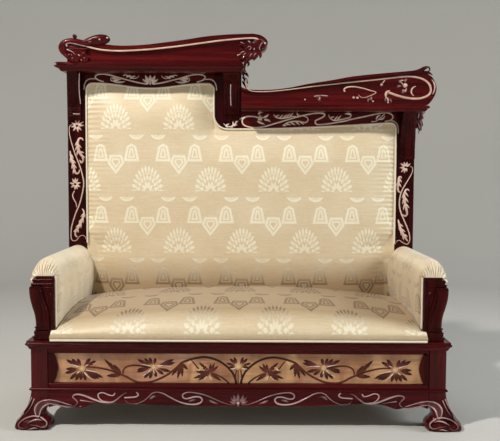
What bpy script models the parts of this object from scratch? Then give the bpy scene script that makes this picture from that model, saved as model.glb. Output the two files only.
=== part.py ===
# Banquette with a stepped back: a box base on scroll feet, a sprung seat, rolled arms
# and an upholstered back whose frame carries two overhanging crests at unlike heights.
# Metres, +Z up, the front faces -Y, and +X is the right of someone who looks at it.

import math

import bmesh
import bpy
from mathutils import Matrix, Vector

# Clearance between pieces that touch.
GAP = 0.0003

# Base
BASE_HALF = 0.811          # half width over the leg posts
BASE_FRONT = -0.310        # front face of the leg posts
SEAT_DEEP = 0.600          # from there to the face of the back's frame
POST_SIDE = 0.066          # side of a square leg post
POST_ROUND = 0.003         # rounding of a leg post's edges
WAIST_Z = 0.148            # top of the carved feet and aprons
RAIL_TOP = 0.345           # top of the seat rails
BOTTOM_RAIL = 0.027        # height of the rail under the inlaid panel
TOP_RAIL = 0.051           # and of the rail over it
RAIL_SETBACK = 0.004       # rails lie this far behind the post faces
RAIL_DEEP = 0.044
PANEL_SETBACK = 0.0155
PANEL_THICK = 0.008
PANEL_END_WIDE = 0.022     # shaped cheek at each end of the panel
PANEL_END_WAVE = 0.017
SIDE_THICK = 0.034
REAR_RAIL_THICK = 0.038
APRON_THICK = 0.024
APRON_DEEP = 0.057
APRON_DROOP = 0.008        # how far the apron's cusps hang under its middle
APRON_SETBACK = 0.002
FOOT_OUT = 0.065           # how far a front foot flares past its post
FOOT_FORWARD = 0.036
FOOT_TOE = 0.014           # how far its inner toe runs in past the post
FOOT_ROUND = 0.030         # rounding of a foot's corners at the floor
REAR_SPLAY = 0.006         # how far a rear foot kicks back
REAR_HOLLOW = 0.016        # how far its front is cut away
PANEL_LOW = WAIST_Z + BOTTOM_RAIL
PANEL_HIGH = RAIL_TOP - TOP_RAIL

# Mouldings, as (out, up) from the face that carries them
CORNICE = [(0, 0), (0.004, 0), (0.006, 0.006), (0.010, 0.013), (0.016, 0.018),
           (0.017, 0.023), (0.013, 0.027), (0.013, 0.033), (0, 0.033)]
BEAD = [(0, 0), (0.003, 0), (0.006, 0.003), (0.006, 0.007), (0.003, 0.010), (0, 0.010)]

# Back frame
BACK_FRONT = BASE_FRONT + SEAT_DEEP
BACK_THICK = 0.050
STILE_SETBACK = 0.014      # stiles and side rails lie this far inside the leg posts' outer faces
STILE_OUT = BASE_HALF - STILE_SETBACK
STILE_WIDE = 0.086
STEP_RIGHT = 0.0           # right face of the short stile at the step
STEP_WIDE = 0.123
LEFT_UNDER = 1.447         # underside of the left, higher crest
STEP_DROP = 0.171          # how much lower the right crest stands
RIGHT_UNDER = LEFT_UNDER - STEP_DROP
LEFT_RAIL_DEEP = 0.042     # depth of the scalloped rail at its ends
LEFT_RAIL_DIP = 0.022      # how much deeper it is in the middle
RIGHT_RAIL_DEEP = 0.077    # at the step
RIGHT_RAIL_RISE = 0.034    # how much shallower it is at the stile
CORNER = 0.030             # rounded top corners of the opening
STEP_ROUND = 0.062         # rounded inner corner of the step
SILL_OVER = 0.080          # top of the hidden rail under the back pad, over the seat rails
BACK_SILL = RAIL_TOP + SILL_OVER
BACK_SILL_DEEP = 0.055
SILL_INSET = 0.004         # the sill and rear rail lie this far inside the stiles' faces
COVER_THICK = 0.006
COVER_INSET = 0.003

# Crests
CREST_OVERHANG = 0.090     # how far the crests' fronts stand forward of the frame
CREST_FRONT = BACK_FRONT - CREST_OVERHANG
CREST_BOARD = 0.022
CREST_CAP = 0.019
CREST_CAP_TIP = 0.006      # the left cap thins to this at its curled end
CREST_CAP_OUT = 0.012      # how far the caps stand forward of the boards
CREST_BACK = 0.014
CREST_BACK_INSET = 0.002
CREST_END = 0.010
LEFT_CREST_HIGH = 0.127    # over its cornice
LEFT_CREST_TAIL = 0.118    # how far the left crest runs on past the step
LEFT_CREST_CURL = 0.035    # size of the curl at its right end
LEFT_CREST_LIP = 0.035     # how far its cornice runs out at the left
SCROLL_LONG = 0.206        # carved scroll at its left end
SCROLL_OUT = 0.013         # how far the scroll lies in front of the boards
FLOWER_LONG = 0.060        # longest leaf of the flower under its right end
RIGHT_CREST_HIGH = 0.158
RIGHT_CREST_CAP = 0.012
RIGHT_CREST_TAIL = 0.038
RIGHT_CREST_ROUND = 0.037  # how far its rounded end runs out past the cap
FINIAL_LONG = 0.045
CREST_CORNICE = [(0, 0), (0.003, 0.001), (0.006, 0.008), (0.007, 0.013), (0.014, 0.018),
                 (0.016, 0.024), (0.010, 0.029), (0.012, 0.033), (0.011, 0.040)]
LOW_CORNICE = [(0, 0), (0.004, 0.001), (0.008, 0.006), (0.008, 0.010), (0.015, 0.014),
               (0.016, 0.020), (0.011, 0.025)]
CORBEL_HIGH = 0.212
CORBEL_CLEAR = 0.004       # how far a corbel stops short of the crest's front
CORBEL_SHY_LEFT = 0.022    # how much narrower the corbels are than the stiles they stand on
CORBEL_SHY_RIGHT = 0.018
CORBEL_SHY_STEP = 0.051
CORBEL_STEP_INSET = 0.008
LEAF_THICK = 0.040
LEAF_STEP = (0.030, 0.058)     # how far out and down the carved leaves reach
LEAF_RIGHT = (0.036, 0.110)

# Arms and seat
ARM_POST_HIGH = 0.2485     # over the seat rails
ARM_POST_WIDE = 0.070
ARM_POST_DEEP = 0.058
ARM_POST_SETBACK = 0.018   # behind the leg posts' faces
ARM_POST_INSET = 0.0185    # inside their outer faces
ARM_POST_STEP = 0.0085     # how far its plinth steps forward
ARM_POST_SCROLL = 0.025    # how far its scroll swells outwards
ARM_POST_RELIEF = 0.008    # how far the scroll stands forward
ARM_POST_TOP = RAIL_TOP + ARM_POST_HIGH
ARM_POST_FRONT = BASE_FRONT + ARM_POST_SETBACK
ARM_POST_IN = BASE_HALF - ARM_POST_INSET - ARM_POST_WIDE
ARM_ROLL_OVER = 0.015      # how far the roll overhangs the leg posts' outer faces
ARM_ROLL_HIGH = 0.0675     # height of the roll over the arm post
ARM_ROLL_UNDER = 0.141     # from the roll's top down to where it meets the arm's wall
ARM_SWELL_DROP = 0.131     # from the roll's top down to the arm's widest place
ARM_WALL_SETBACK = 0.002
ARM_FOOT_CLEAR = 0.002
ARM_SWELL_FRONT = 0.0145   # how far the arm's inner face swells at the front
ARM_SWELL_REAR = 0.0515    # and where it meets the back
ARM_NOSE_RISE = 0.012      # over this depth the roll's front rounds off
ARM_ROLL_OUT = BASE_HALF + ARM_ROLL_OVER
ARM_ROLL_TOP = ARM_POST_TOP + ARM_ROLL_HIGH
ARM_SWELL_Z = ARM_ROLL_TOP - ARM_SWELL_DROP
ARM_WALL_OUT = STILE_OUT - ARM_WALL_SETBACK
ARM_FOOT_IN = ARM_POST_IN - ARM_FOOT_CLEAR
ARM_BULGE_FRONT = ARM_FOOT_IN - ARM_SWELL_FRONT
ARM_BULGE_REAR = ARM_FOOT_IN - ARM_SWELL_REAR
PAD_CROWN = 0.048
PAD_ROLL = 0.170           # how far in from its edges the back pad reaches its crown
PAD_THICK = 0.030
PAD_OVER_ARM = 0.004       # the pad widens to the stiles this far over the arms
PAD_FADE = 0.060           # and its crown follows over this height
PAD_BESIDE = ARM_BULGE_REAR - 0.002   # half width of the pad's crown between the arms
SEAT_FORWARD = 0.012       # how far the seat's front border stands past the leg posts
SEAT_EAR_LAP = 0.0125      # how far the border laps the arm posts
SEAT_LIP = 0.027           # height of the front border under its roll
SEAT_ROLL = 0.120          # how far back the front border's roll runs
SEAT_SHOULDER = 0.72       # share of the crown that the roll reaches
SEAT_CROWN_OVER = 0.135    # heights over the seat rails: the crown, and the sides front and rear
SEAT_SIDE_FRONT_OVER = 0.040
SEAT_SIDE_REAR_OVER = 0.090
SEAT_CLEAR = 0.0012        # space between the seat and the arms' stuffed faces
SEAT_PAD_CLEAR = 0.0035    # and between the seat's crown and the back pad's
SEAT_TUCK = 0.005          # how far under the sill the seat's rear flap passes
SEAT_FRONT = BASE_FRONT - SEAT_FORWARD
SEAT_REAR = BACK_FRONT - PAD_CROWN - SEAT_PAD_CLEAR
SEAT_EAR = ARM_POST_IN + SEAT_EAR_LAP
SEAT_CROWN = RAIL_TOP + SEAT_CROWN_OVER
SEAT_SIDE_FRONT = RAIL_TOP + SEAT_SIDE_FRONT_OVER
SEAT_SIDE_REAR = RAIL_TOP + SEAT_SIDE_REAR_OVER
PIPING = 0.0035            # radius of the piping

# Inside the seat
WEB_THICK = 0.003
WEB_COLUMNS = 9
WEB_ROWS = 4
WEB_STRAP = 0.050
SPRING_COLUMNS = 6
SPRING_ROWS = 2
SPRING_WIRE = 0.002
SPRING_TURNS = 4
SPRING_END = 0.045         # radius of a spring's end turns
SPRING_WAIST = 0.028
SPRING_MARGIN = 0.143      # from the side rails to the outer springs' centres
SPRING_ROW_PITCH = 0.240
TWINE_TAIL = 0.020


def clear_scene():
    for obj in list(bpy.data.objects):
        bpy.data.objects.remove(obj, do_unlink=True)


def collection(name):
    made = bpy.data.collections.new(name)
    bpy.context.scene.collection.children.link(made)
    return made


def finish(name, colour, roughness, metallic=0.0):
    made = bpy.data.materials.new(name)
    made.use_nodes = True
    shader = made.node_tree.nodes["Principled BSDF"]
    shader.inputs["Base Color"].default_value = (*colour, 1.0)
    shader.inputs["Roughness"].default_value = roughness
    shader.inputs["Metallic"].default_value = metallic
    return made


clear_scene()
PARTS = collection("banquette")
CUTTERS = collection("helpers")
CUTTERS.hide_render = True
MAHOGANY = finish("mahogany", (0.145, 0.012, 0.014), 0.22)
MAPLE = finish("maple", (0.62, 0.36, 0.16), 0.35)
DAMASK = finish("damask", (0.74, 0.63, 0.42), 0.75)
CORD = finish("cord", (0.80, 0.72, 0.55), 0.8)
JUTE = finish("jute", (0.42, 0.31, 0.18), 0.9)
STEEL = finish("steel", (0.45, 0.45, 0.45), 0.35, 1.0)


def add(name, mesh, material, bevel=0.0):
    """An object for a finished mesh, with rounded edges where bevel is given."""
    obj = bpy.data.objects.new(name, mesh)
    PARTS.objects.link(obj)
    mesh.materials.clear()
    mesh.materials.append(material)
    mesh.shade_smooth()
    mesh.set_sharp_from_angle(angle=math.radians(35))
    if bevel:
        rounding = obj.modifiers.new("edges", "BEVEL")
        rounding.width = bevel
        rounding.segments = 1
        rounding.limit_method = "ANGLE"
        rounding.angle_limit = math.radians(50)
    return obj


def block_mesh(name, low, high):
    bm = bmesh.new()
    bmesh.ops.create_cube(bm, size=1.0)
    low, high = Vector(low), Vector(high)
    bmesh.ops.scale(bm, vec=high - low, verts=bm.verts)
    bmesh.ops.translate(bm, vec=(low + high) / 2, verts=bm.verts)
    mesh = bpy.data.meshes.new(name)
    bm.to_mesh(mesh)
    bm.free()
    return mesh


def block(name, low, high, material, bevel=0.0012):
    """A board or rail between two corners."""
    return add(name, block_mesh(name, low, high), material, bevel)


def solid_of_curve(obj):
    """The mesh of a curve object in world space with its caps welded; the curve is removed."""
    bpy.context.view_layer.update()
    graph = bpy.context.evaluated_depsgraph_get()
    mesh = bpy.data.meshes.new_from_object(obj.evaluated_get(graph))
    mesh.transform(obj.matrix_world)
    bm = bmesh.new()
    bm.from_mesh(mesh)
    bmesh.ops.remove_doubles(bm, verts=bm.verts, dist=0.00002)
    bmesh.ops.recalc_face_normals(bm, faces=bm.faces)
    bm.to_mesh(mesh)
    bm.free()
    bpy.data.objects.remove(obj, do_unlink=True)
    return mesh


def plate_mesh(name, outlines, near, far, plane="XZ"):
    """Flat outlines, holes after the first, extruded from near to far across their plane."""
    curve = bpy.data.curves.new(name, "CURVE")
    curve.dimensions = "2D"
    curve.fill_mode = "BOTH"
    curve.extrude = abs(far - near) / 2
    for outline in outlines:
        spline = curve.splines.new("POLY")
        spline.points.add(len(outline) - 1)
        for point, (a, b) in zip(spline.points, outline):
            point.co = (a, b, 0, 1)
        spline.use_cyclic_u = True
    obj = bpy.data.objects.new(name, curve)
    PARTS.objects.link(obj)
    middle = (near + far) / 2
    if plane == "XZ":
        obj.rotation_euler = (math.pi / 2, 0, 0)
        obj.location = (0, middle, 0)
    elif plane == "YZ":
        obj.rotation_euler = (math.pi / 2, 0, math.pi / 2)
        obj.location = (middle, 0, 0)
    else:
        obj.location = (0, 0, middle)
    return solid_of_curve(obj)


def plate(name, outline, near, far, material, plane="XZ", bevel=0.0012):
    return add(name, plate_mesh(name, [outline], near, far, plane), material, bevel)


def smooth(points, steps=4):
    """Points along a Catmull-Rom curve through the given ones."""
    ends = [points[0], *points, points[-1]]
    found = []
    for i in range(1, len(ends) - 2):
        p0, p1, p2, p3 = (Vector(ends[k]) for k in range(i - 1, i + 3))
        for s in range(steps):
            t = s / steps
            found.append((
                2 * p1 + (p2 - p0) * t + (2 * p0 - 5 * p1 + 4 * p2 - p3) * t * t
                + (3 * p1 - p0 - 3 * p2 + p3) * t ** 3
            ) / 2)
    return [tuple(p) for p in found] + [tuple(points[-1])]


def loft_mesh(name, rings):
    """A closed skin over rings that have equal counts of points."""
    bm = bmesh.new()
    levels = [[bm.verts.new(p) for p in ring] for ring in rings]
    count = len(levels[0])
    for low, high in zip(levels, levels[1:]):
        for i in range(count):
            j = (i + 1) % count
            bm.faces.new((low[i], low[j], high[j], high[i]))
    bm.faces.new(levels[0])
    bm.faces.new(levels[-1])
    bmesh.ops.recalc_face_normals(bm, faces=bm.faces)
    mesh = bpy.data.meshes.new(name)
    bm.to_mesh(mesh)
    bm.free()
    return mesh


def loft(name, rings, material, bevel=0.0):
    return add(name, loft_mesh(name, rings), material, bevel)


def tube_mesh(name, points, radii, resolution=2):
    """A round bar along points; radii is one radius or one for each point."""
    curve = bpy.data.curves.new(name, "CURVE")
    curve.dimensions = "3D"
    curve.bevel_depth = 1.0
    curve.bevel_resolution = resolution
    curve.use_fill_caps = True
    spline = curve.splines.new("POLY")
    spline.points.add(len(points) - 1)
    if not isinstance(radii, (list, tuple)):
        radii = [radii] * len(points)
    for point, place, radius in zip(spline.points, points, radii):
        point.co = (*place, 1)
        point.radius = radius
    obj = bpy.data.objects.new(name, curve)
    PARTS.objects.link(obj)
    return solid_of_curve(obj)


def fuse(target, meshes):
    """Unions meshes into an object, and leaves it as one plain mesh."""
    helpers = []
    for i, mesh in enumerate(meshes):
        helper = bpy.data.objects.new(f"{target.name}_add_{i}", mesh)
        CUTTERS.objects.link(helper)
        helper.hide_render = True
        helper.display_type = "WIRE"
        union = target.modifiers.new(f"union_{i}", "BOOLEAN")
        union.operation = "UNION"
        union.object = helper
        helpers.append(helper)
    bpy.context.view_layer.update()
    graph = bpy.context.evaluated_depsgraph_get()
    made = bpy.data.meshes.new_from_object(target.evaluated_get(graph))
    target.modifiers.clear()
    target.data = made
    for helper in helpers:
        bpy.data.objects.remove(helper, do_unlink=True)
    return target


def mirrored(points, side):
    return [(side * p[0], *p[1:]) for p in points]


def named(word, side):
    return f"{word}_{'left' if side < 0 else 'right'}"


# Base: legs with carved feet

def leg_sections():
    """(height, inner edge, outer edge) up a front leg, edges measured from the centre."""
    inner = BASE_HALF - POST_SIDE
    shape = [
        (0.00, -0.64, 0.92), (0.07, -1.00, 1.00), (0.19, -0.50, 0.85), (0.30, 0.36, 0.65),
        (0.42, 0.86, 0.48), (0.54, 0.50, 0.32), (0.68, 0.0, 0.17), (0.84, 0.0, 0.05), (1.00, 0.0, 0.0),
    ]
    sections = [
        (WAIST_Z * up, inner + FOOT_TOE * tuck, BASE_HALF + FOOT_OUT * out) for up, tuck, out in shape
    ]
    return [*sections, (RAIL_TOP, inner, BASE_HALF)]


def leg_ring(z, inner, outer, side):
    """A square section with rounded corners, rounder towards the floor."""
    flare = (outer - BASE_HALF) / FOOT_OUT
    front = BASE_FRONT - FOOT_FORWARD * flare
    back = BASE_FRONT + POST_SIDE + (BASE_HALF - POST_SIDE - inner)
    radius = POST_ROUND + (FOOT_ROUND - POST_ROUND) * flare
    half_x, half_y = (outer - inner) / 2 - radius, (back - front) / 2 - radius
    ring = []
    for turn in range(20):
        quarter, step = divmod(turn, 5)
        a = math.radians(90 * quarter + 22.5 * step)
        x = half_x * (1, -1, -1, 1)[quarter] + radius * math.cos(a)
        y = half_y * (1, 1, -1, -1)[quarter] + radius * math.sin(a)
        ring.append((side * ((inner + outer) / 2 + x), (front + back) / 2 + y, z))
    return ring


def front_leg(side):
    rings = [leg_ring(*section, side) for section in leg_sections()]
    return loft(named("front_leg", side), rings, MAHOGANY)


def rear_post(side, top):
    """Rear leg and back stile in one length, kicked back at the foot."""
    rear = BACK_FRONT + BACK_THICK
    heel = rear + REAR_SPLAY
    cuts = ((0, 0.81), (0.31, 0.41), (1, 0))
    hollow = [(BACK_FRONT + REAR_HOLLOW * cut, WAIST_Z * up) for cut, up in cuts]
    kicks = ((0, 0), (-0.62, 0.27), (-1.09, 0.61))
    kick = [(heel + REAR_HOLLOW * cut, WAIST_Z * up) for cut, up in kicks]
    outline = [
        (BACK_FRONT, top), (BACK_FRONT, WAIST_Z * 0.95), *smooth(hollow, 3),
        *smooth([*kick, (rear, WAIST_Z * 0.88)], 3), (rear, top),
    ]
    near = side * (STILE_OUT - STILE_WIDE)
    far = side * STILE_OUT
    return plate(named("rear_post", side), outline, near, far, MAHOGANY, "YZ")


# Base: rails, panel and mouldings

def front_rails():
    half = BASE_HALF - POST_SIDE - GAP
    face = BASE_FRONT + RAIL_SETBACK
    back = face + RAIL_DEEP
    block("front_bottom_rail", (-half, face, WAIST_Z), (half, back, PANEL_LOW - GAP), MAHOGANY)
    block("front_top_rail", (-half, face, PANEL_HIGH + GAP), (half, back, RAIL_TOP), MAHOGANY)
    low = (-half, BASE_FRONT + PANEL_SETBACK, PANEL_LOW)
    high = (half, BASE_FRONT + PANEL_SETBACK + PANEL_THICK, PANEL_HIGH)
    block("inlaid_panel", low, high, MAPLE, 0.0008)


def panel_end(side):
    """Cheek with a waved edge that closes the panel's opening against the leg."""
    outer = BASE_HALF - POST_SIDE - GAP
    inner = outer - PANEL_END_WIDE
    bulge = inner - PANEL_END_WAVE
    high = PANEL_HIGH - PANEL_LOW
    wave = smooth([
        (inner + (bulge - inner) * out, PANEL_LOW + up * high)
        for out, up in ((0, 0), (0.06, 0.05), (0.47, 0.18), (1, 0.5), (0.47, 0.82), (0.06, 0.95), (0, 1))
    ], 3)
    wave = [(x, min(max(z, PANEL_LOW), PANEL_HIGH)) for x, z in wave]
    outline = mirrored([(outer, PANEL_HIGH), (outer, PANEL_LOW), *wave], side)
    near = BASE_FRONT + RAIL_SETBACK
    far = BASE_FRONT + PANEL_SETBACK - GAP
    plate(named("panel_end", side), outline, near, far, MAHOGANY, bevel=0.0)


def run_of_moulding(word, profile, low):
    """A moulding round the front and both sides of the base, mitred at the corners.

    Behind it, a tongue reaches back to the rails, which lie deeper than the posts."""
    half = BASE_HALF + GAP
    face = BASE_FRONT - GAP
    rear = BACK_FRONT + BACK_THICK
    top = low + profile[-1][1]
    lap = 0.002
    front = [
        [(side * (half + out - GAP), face - out, low + up) for out, up in profile]
        for side in (-1, 1)
    ]
    between = BASE_HALF - POST_SIDE - GAP
    rail_face = BASE_FRONT + RAIL_SETBACK - GAP
    tongue = block_mesh("tongue", (-between, face - lap, low), (between, rail_face, top))
    fuse(loft(f"{word}_front", front, MAHOGANY), [tongue])
    for side in (-1, 1):
        rings = [
            [(side * (half + out), y - out * mitre, low + up) for out, up in profile]
            for y, mitre in ((face + GAP, 1), (rear, 0))
        ]
        ends = sorted((side * (STILE_OUT + GAP), side * (half + lap)))
        start = BASE_FRONT + POST_SIDE + GAP
        tongue = block_mesh("tongue", (ends[0], start, low), (ends[1], rear, top))
        fuse(loft(named(word, side), rings, MAHOGANY), [tongue])


def side_rail(side):
    """Deep side rail between the front leg and the rear post, flush with the stile."""
    inner = STILE_OUT - SIDE_THICK
    front = BASE_FRONT + POST_SIDE + GAP
    low = (min(side * inner, side * STILE_OUT), front, WAIST_Z)
    high = (max(side * inner, side * STILE_OUT), BACK_FRONT - GAP, RAIL_TOP)
    block(named("side_rail", side), low, high, MAHOGANY)


def front_apron():
    """Whiplash lower edge: it droops to a cusp beside each foot and lifts into the leg."""
    half = BASE_HALF - POST_SIDE - GAP
    low = WAIST_Z - APRON_DEEP
    wave = [(0, 0), (0.34, 0.25), (0.55, 1.0), (0.70, 1.63), (0.77, 0.75), (0.83, -1.0),
            (0.87, -0.38), (0.925, 0.38), (0.965, 0.13), (1.0, -0.88)]
    right = smooth([(half * across, low + APRON_DROOP * up) for across, up in wave], 4)
    left = [(-x, z) for x, z in reversed(right[1:])]
    outline = [*left, *right, (half, WAIST_Z - GAP), (-half, WAIST_Z - GAP)]
    near = BASE_FRONT + APRON_SETBACK
    plate("front_apron", outline, near, near + APRON_THICK, MAHOGANY, bevel=0.002)


def side_apron(side):
    """Plainer apron along the side, arched between the feet."""
    front = BASE_FRONT + POST_SIDE + GAP
    rear = BACK_FRONT - GAP
    long = rear - front
    low = WAIST_Z - APRON_DEEP
    wave = [(0, -0.88), (0.08, 0.25), (0.20, -0.75), (0.32, 1.25), (0.50, 1.75), (0.68, 1.25),
            (0.80, -0.75), (0.92, 0.25), (1, -0.5)]
    lower = smooth([(front + long * along, low + APRON_DROOP * up) for along, up in wave], 3)
    outline = [*lower, (rear, WAIST_Z - GAP), (front, WAIST_Z - GAP)]
    near, far = side * STILE_OUT, side * (STILE_OUT - APRON_THICK)
    plate(named("side_apron", side), outline, near, far, MAHOGANY, "YZ", 0.002)


def rear_rail():
    half = STILE_OUT - STILE_WIDE - GAP
    near = BACK_FRONT + SILL_INSET / 2
    block("rear_rail", (-half, near, WAIST_Z), (half, near + REAR_RAIL_THICK, RAIL_TOP), MAHOGANY)


# Inside the seat: webbing and two lashed rows of springs

def webbing():
    """Jute straps tacked under the rails, as one net of crossing straps."""
    top = WAIST_Z - GAP
    slack = 0.001
    half = STILE_OUT - APRON_THICK - slack
    front = BASE_FRONT + APRON_SETBACK + APRON_THICK + slack
    rear = BACK_FRONT - slack
    pitch_x = (2 * half - WEB_STRAP) / WEB_COLUMNS
    pitch_y = (rear - front - WEB_STRAP) / WEB_ROWS
    corner = BASE_HALF - POST_SIDE - 4 * slack
    inset = BASE_FRONT + POST_SIDE + FOOT_TOE + 2 * slack
    outline = [
        (-corner, front), (corner, front), (corner, inset), (half, inset),
        (half, rear), (-half, rear), (-half, inset), (-corner, inset),
    ]
    holes = []
    for i in range(WEB_COLUMNS):
        for j in range(WEB_ROWS):
            x = -half + WEB_STRAP + i * pitch_x
            y = front + WEB_STRAP + j * pitch_y
            right, back = x + pitch_x - WEB_STRAP, y + pitch_y - WEB_STRAP
            x, right = max(x, 0.4 * WEB_STRAP - corner), min(right, corner - 0.4 * WEB_STRAP)
            holes.append([(x, y), (x, back), (right, back), (right, y)])
    mesh = plate_mesh("seat_webbing", [outline, *holes], top - WEB_THICK, top, "XY")
    add("seat_webbing", mesh, JUTE)


def spring_points(x, y):
    """A double-cone spring's wire, from the webbing to the underside of the stuffing."""
    low = WAIST_Z + GAP + SPRING_WIRE
    high = RAIL_TOP - GAP - SPRING_WIRE
    count = SPRING_TURNS * 8
    points = []
    for i in range(count + 1):
        share = i / count
        radius = SPRING_WAIST + (SPRING_END - SPRING_WAIST) * abs(2 * share - 1)
        a = 2 * math.pi * SPRING_TURNS * share
        z = low + (high - low) * share
        points.append((x + radius * math.cos(a), y + radius * math.sin(a), z))
    return points


def least_gap(points, radius):
    """Least space between turns that lie at least half a turn apart along a coil."""
    least = 1.0
    for i, p in enumerate(points):
        for q in points[i + 4:]:
            least = min(least, (Vector(p) - Vector(q)).length - 2 * radius)
    return least


def spring_row(index):
    """Springs of one row, tied into one unit by a lashing twine along their tops."""
    middle = (BASE_FRONT + RAIL_SETBACK + RAIL_DEEP + BACK_FRONT) / 2
    y = middle + SPRING_ROW_PITCH * (index - (SPRING_ROWS - 1) / 2)
    first = SPRING_MARGIN - (STILE_OUT - SIDE_THICK)
    pitch = -2 * first / (SPRING_COLUMNS - 1)
    z = RAIL_TOP - GAP - SPRING_WIRE
    end = first - SPRING_END - TWINE_TAIL
    twine = tube_mesh("twine", [(end, y, z), (0, y, z), (-end, y, z)], SPRING_WIRE * 0.95, 0)
    name = ("spring_row_front", "spring_row_rear")[index]
    coils = []
    for i in range(SPRING_COLUMNS):
        points = spring_points(first + i * pitch, y)
        coils.append(tube_mesh("coil", points, SPRING_WIRE, 0))
    print(f"{name}: turns keep {1000 * least_gap(points, SPRING_WIRE):.1f} mm apart")
    fuse(add(name, twine, STEEL), coils)


# Arms

def arm_inner(z, y):
    """Inner face of the arm, from the centre: it swells towards the back."""
    share = min(1.0, max(0.0, (y - BASE_FRONT) / (BACK_FRONT - BASE_FRONT)))
    bulge = ARM_BULGE_FRONT + (ARM_BULGE_REAR - ARM_BULGE_FRONT) * share
    up = (z - RAIL_TOP) / (ARM_SWELL_Z - RAIL_TOP)
    if up <= 1:
        return ARM_FOOT_IN + (bulge - ARM_FOOT_IN) * max(0.0, up)
    lift = min(1.0, (z - ARM_SWELL_Z) / (ARM_ROLL_TOP - ARM_SWELL_Z))
    crest = (ARM_ROLL_OUT + bulge) / 2
    return crest - (crest - bulge) * math.sqrt(max(0.0, 1 - lift ** 2.4))


def arm_ring(y, side, shrink):
    """Section of a rolled arm. Shrink draws the roll's front in towards its heart."""
    low = RAIL_TOP + GAP
    heart = ((ARM_ROLL_OUT + ARM_BULGE_FRONT) / 2, ARM_ROLL_TOP - ARM_ROLL_UNDER / 2)
    inner = [low + (ARM_SWELL_Z - low) * t for t in (0, 0.25, 0.5, 0.75, 1)]
    ring = [(arm_inner(z, y), z) for z in inner]
    high = [ARM_SWELL_Z + (ARM_ROLL_TOP - ARM_SWELL_Z) * t for t in (0.35, 0.65, 0.87, 0.97)]
    ring += [(arm_inner(z, y), z) for z in high]
    crest = (ARM_ROLL_OUT + arm_inner(ARM_SWELL_Z, y)) / 2
    ring.append((crest, ARM_ROLL_TOP))
    half = ARM_ROLL_OUT - crest
    for a in (68, 45, 22, 0):
        c, s = math.cos(math.radians(a)), math.sin(math.radians(a))
        ring.append((crest + half * c, ARM_ROLL_TOP - ARM_ROLL_UNDER * 0.43 * (1 - s)))
    over = ARM_ROLL_OUT - ARM_WALL_OUT
    for out, down in ((0.8, 0.61), (0.2, 0.8), (0.0, 1.0)):
        ring.append((ARM_WALL_OUT + over * out, ARM_ROLL_TOP - ARM_ROLL_UNDER * down))
    ring.append((ARM_WALL_OUT, low))
    drawn = []
    for x, z in ring:
        if z > ARM_ROLL_TOP - ARM_ROLL_UNDER * 0.86:
            x, z = heart[0] + (x - heart[0]) * shrink, heart[1] + (z - heart[1]) * shrink
        drawn.append((side * x, y, z))
    return drawn


def arm_pad(side):
    """Upholstered arm: a wall on the side rail with a roll that rounds off at the front."""
    front = ARM_POST_FRONT + ARM_POST_DEEP + GAP
    rear = BACK_FRONT - GAP
    stations = [(front, 0.86), (front + ARM_NOSE_RISE, 0.96), (front + 2.5 * ARM_NOSE_RISE, 1.0)]
    for share in (0.30, 0.55, 0.80, 1.0):
        stations.append((front + (rear - front) * share, 1.0))
    rings = [arm_ring(y, side, shrink) for y, shrink in stations]
    body = loft(named("arm_pad", side), rings, DAMASK)
    rounding = ((0.33, 0.50), (0.83, 0.78), (2.1, 0.93))
    nose = [(ARM_POST_FRONT + ARM_NOSE_RISE * s, shrink) for s, shrink in rounding]
    nose.append((front + 1.67 * ARM_NOSE_RISE, 0.99))
    overhang = [nose_ring(y, side, shrink) for y, shrink in nose]
    fuse(body, [loft_mesh("nose", overhang)])


def nose_ring(y, side, shrink):
    """Section of the roll's nose, which rests on top of the arm post."""
    low = ARM_POST_TOP + GAP
    trim = 0.001
    outer, inner = ARM_ROLL_OUT - trim, arm_inner(ARM_ROLL_TOP - ARM_ROLL_UNDER * 0.72, y) + trim
    centre, half = (outer + inner) / 2, (outer - inner) / 2
    ring = []
    for i in range(13):
        a = math.pi * i / 12
        c, s = math.cos(a), math.sin(a)
        high = (ARM_ROLL_TOP - trim - low) * shrink
        ring.append((side * (centre + half * shrink * c), y, low + high * max(0.0, s) ** 0.8))
    return ring


def arm_post(side):
    """Front stump of an arm: a scrolled console on a stepped plinth."""
    inner = ARM_POST_IN
    low = RAIL_TOP + GAP
    edge = inner + ARM_POST_WIDE

    def at(out, up):
        return (edge + ARM_POST_SCROLL * out, RAIL_TOP + ARM_POST_HIGH * up)

    swell = [(0.06, 0.173), (-0.06, 0.27), (0, 0.402), (0.36, 0.583), (0.84, 0.724), (1.0, 0.805),
             (0.84, 0.848)]
    outline = [
        (inner, low), (at(0.16, 0)[0], low), at(0.16, 0.161),
        *smooth([at(*p) for p in swell], 3),
        at(0.44, 0.857), at(0.44, 0.921), at(0, 0.93), (edge, ARM_POST_TOP), (inner, ARM_POST_TOP),
    ]
    near = ARM_POST_FRONT
    far = ARM_POST_FRONT + ARM_POST_DEEP
    post = plate(named("arm_post", side), mirrored(outline, side), near, far, MAHOGANY, bevel=0.0)
    trim = 0.001
    hollow = [(0.67, 0.847), (0.63, 0.744), (0.485, 0.624), (0.314, 0.483), (0.243, 0.302), (0.229, 0.173)]
    band = [
        *smooth([(x - trim, z) for x, z in (at(*p) for p in swell)], 3),
        *smooth([(inner + ARM_POST_WIDE * share, at(0, up)[1]) for share, up in hollow], 3),
    ]
    scroll = plate_mesh("scroll", [mirrored(band, side)], near - ARM_POST_RELIEF, near + ARM_POST_RELIEF)
    steps = []
    plinth = ((0, 0.05, 0.36, 1.0), (0.046, 0.0926, 0.20, 0.59), (0.0885, 0.141, 0.28, 0.82))
    for up0, up1, out, forward in plinth:
        z0, z1 = max(low, at(0, up0)[1]), at(0, up1)[1]
        corners = [(inner, z0), (at(out, 0)[0], z0), (at(out, 0)[0], z1), (inner, z1)]
        front = near - ARM_POST_STEP * forward
        steps.append(plate_mesh("step", [mirrored(corners, side)], front, far - trim))
    fuse(post, [scroll, *steps])


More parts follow.
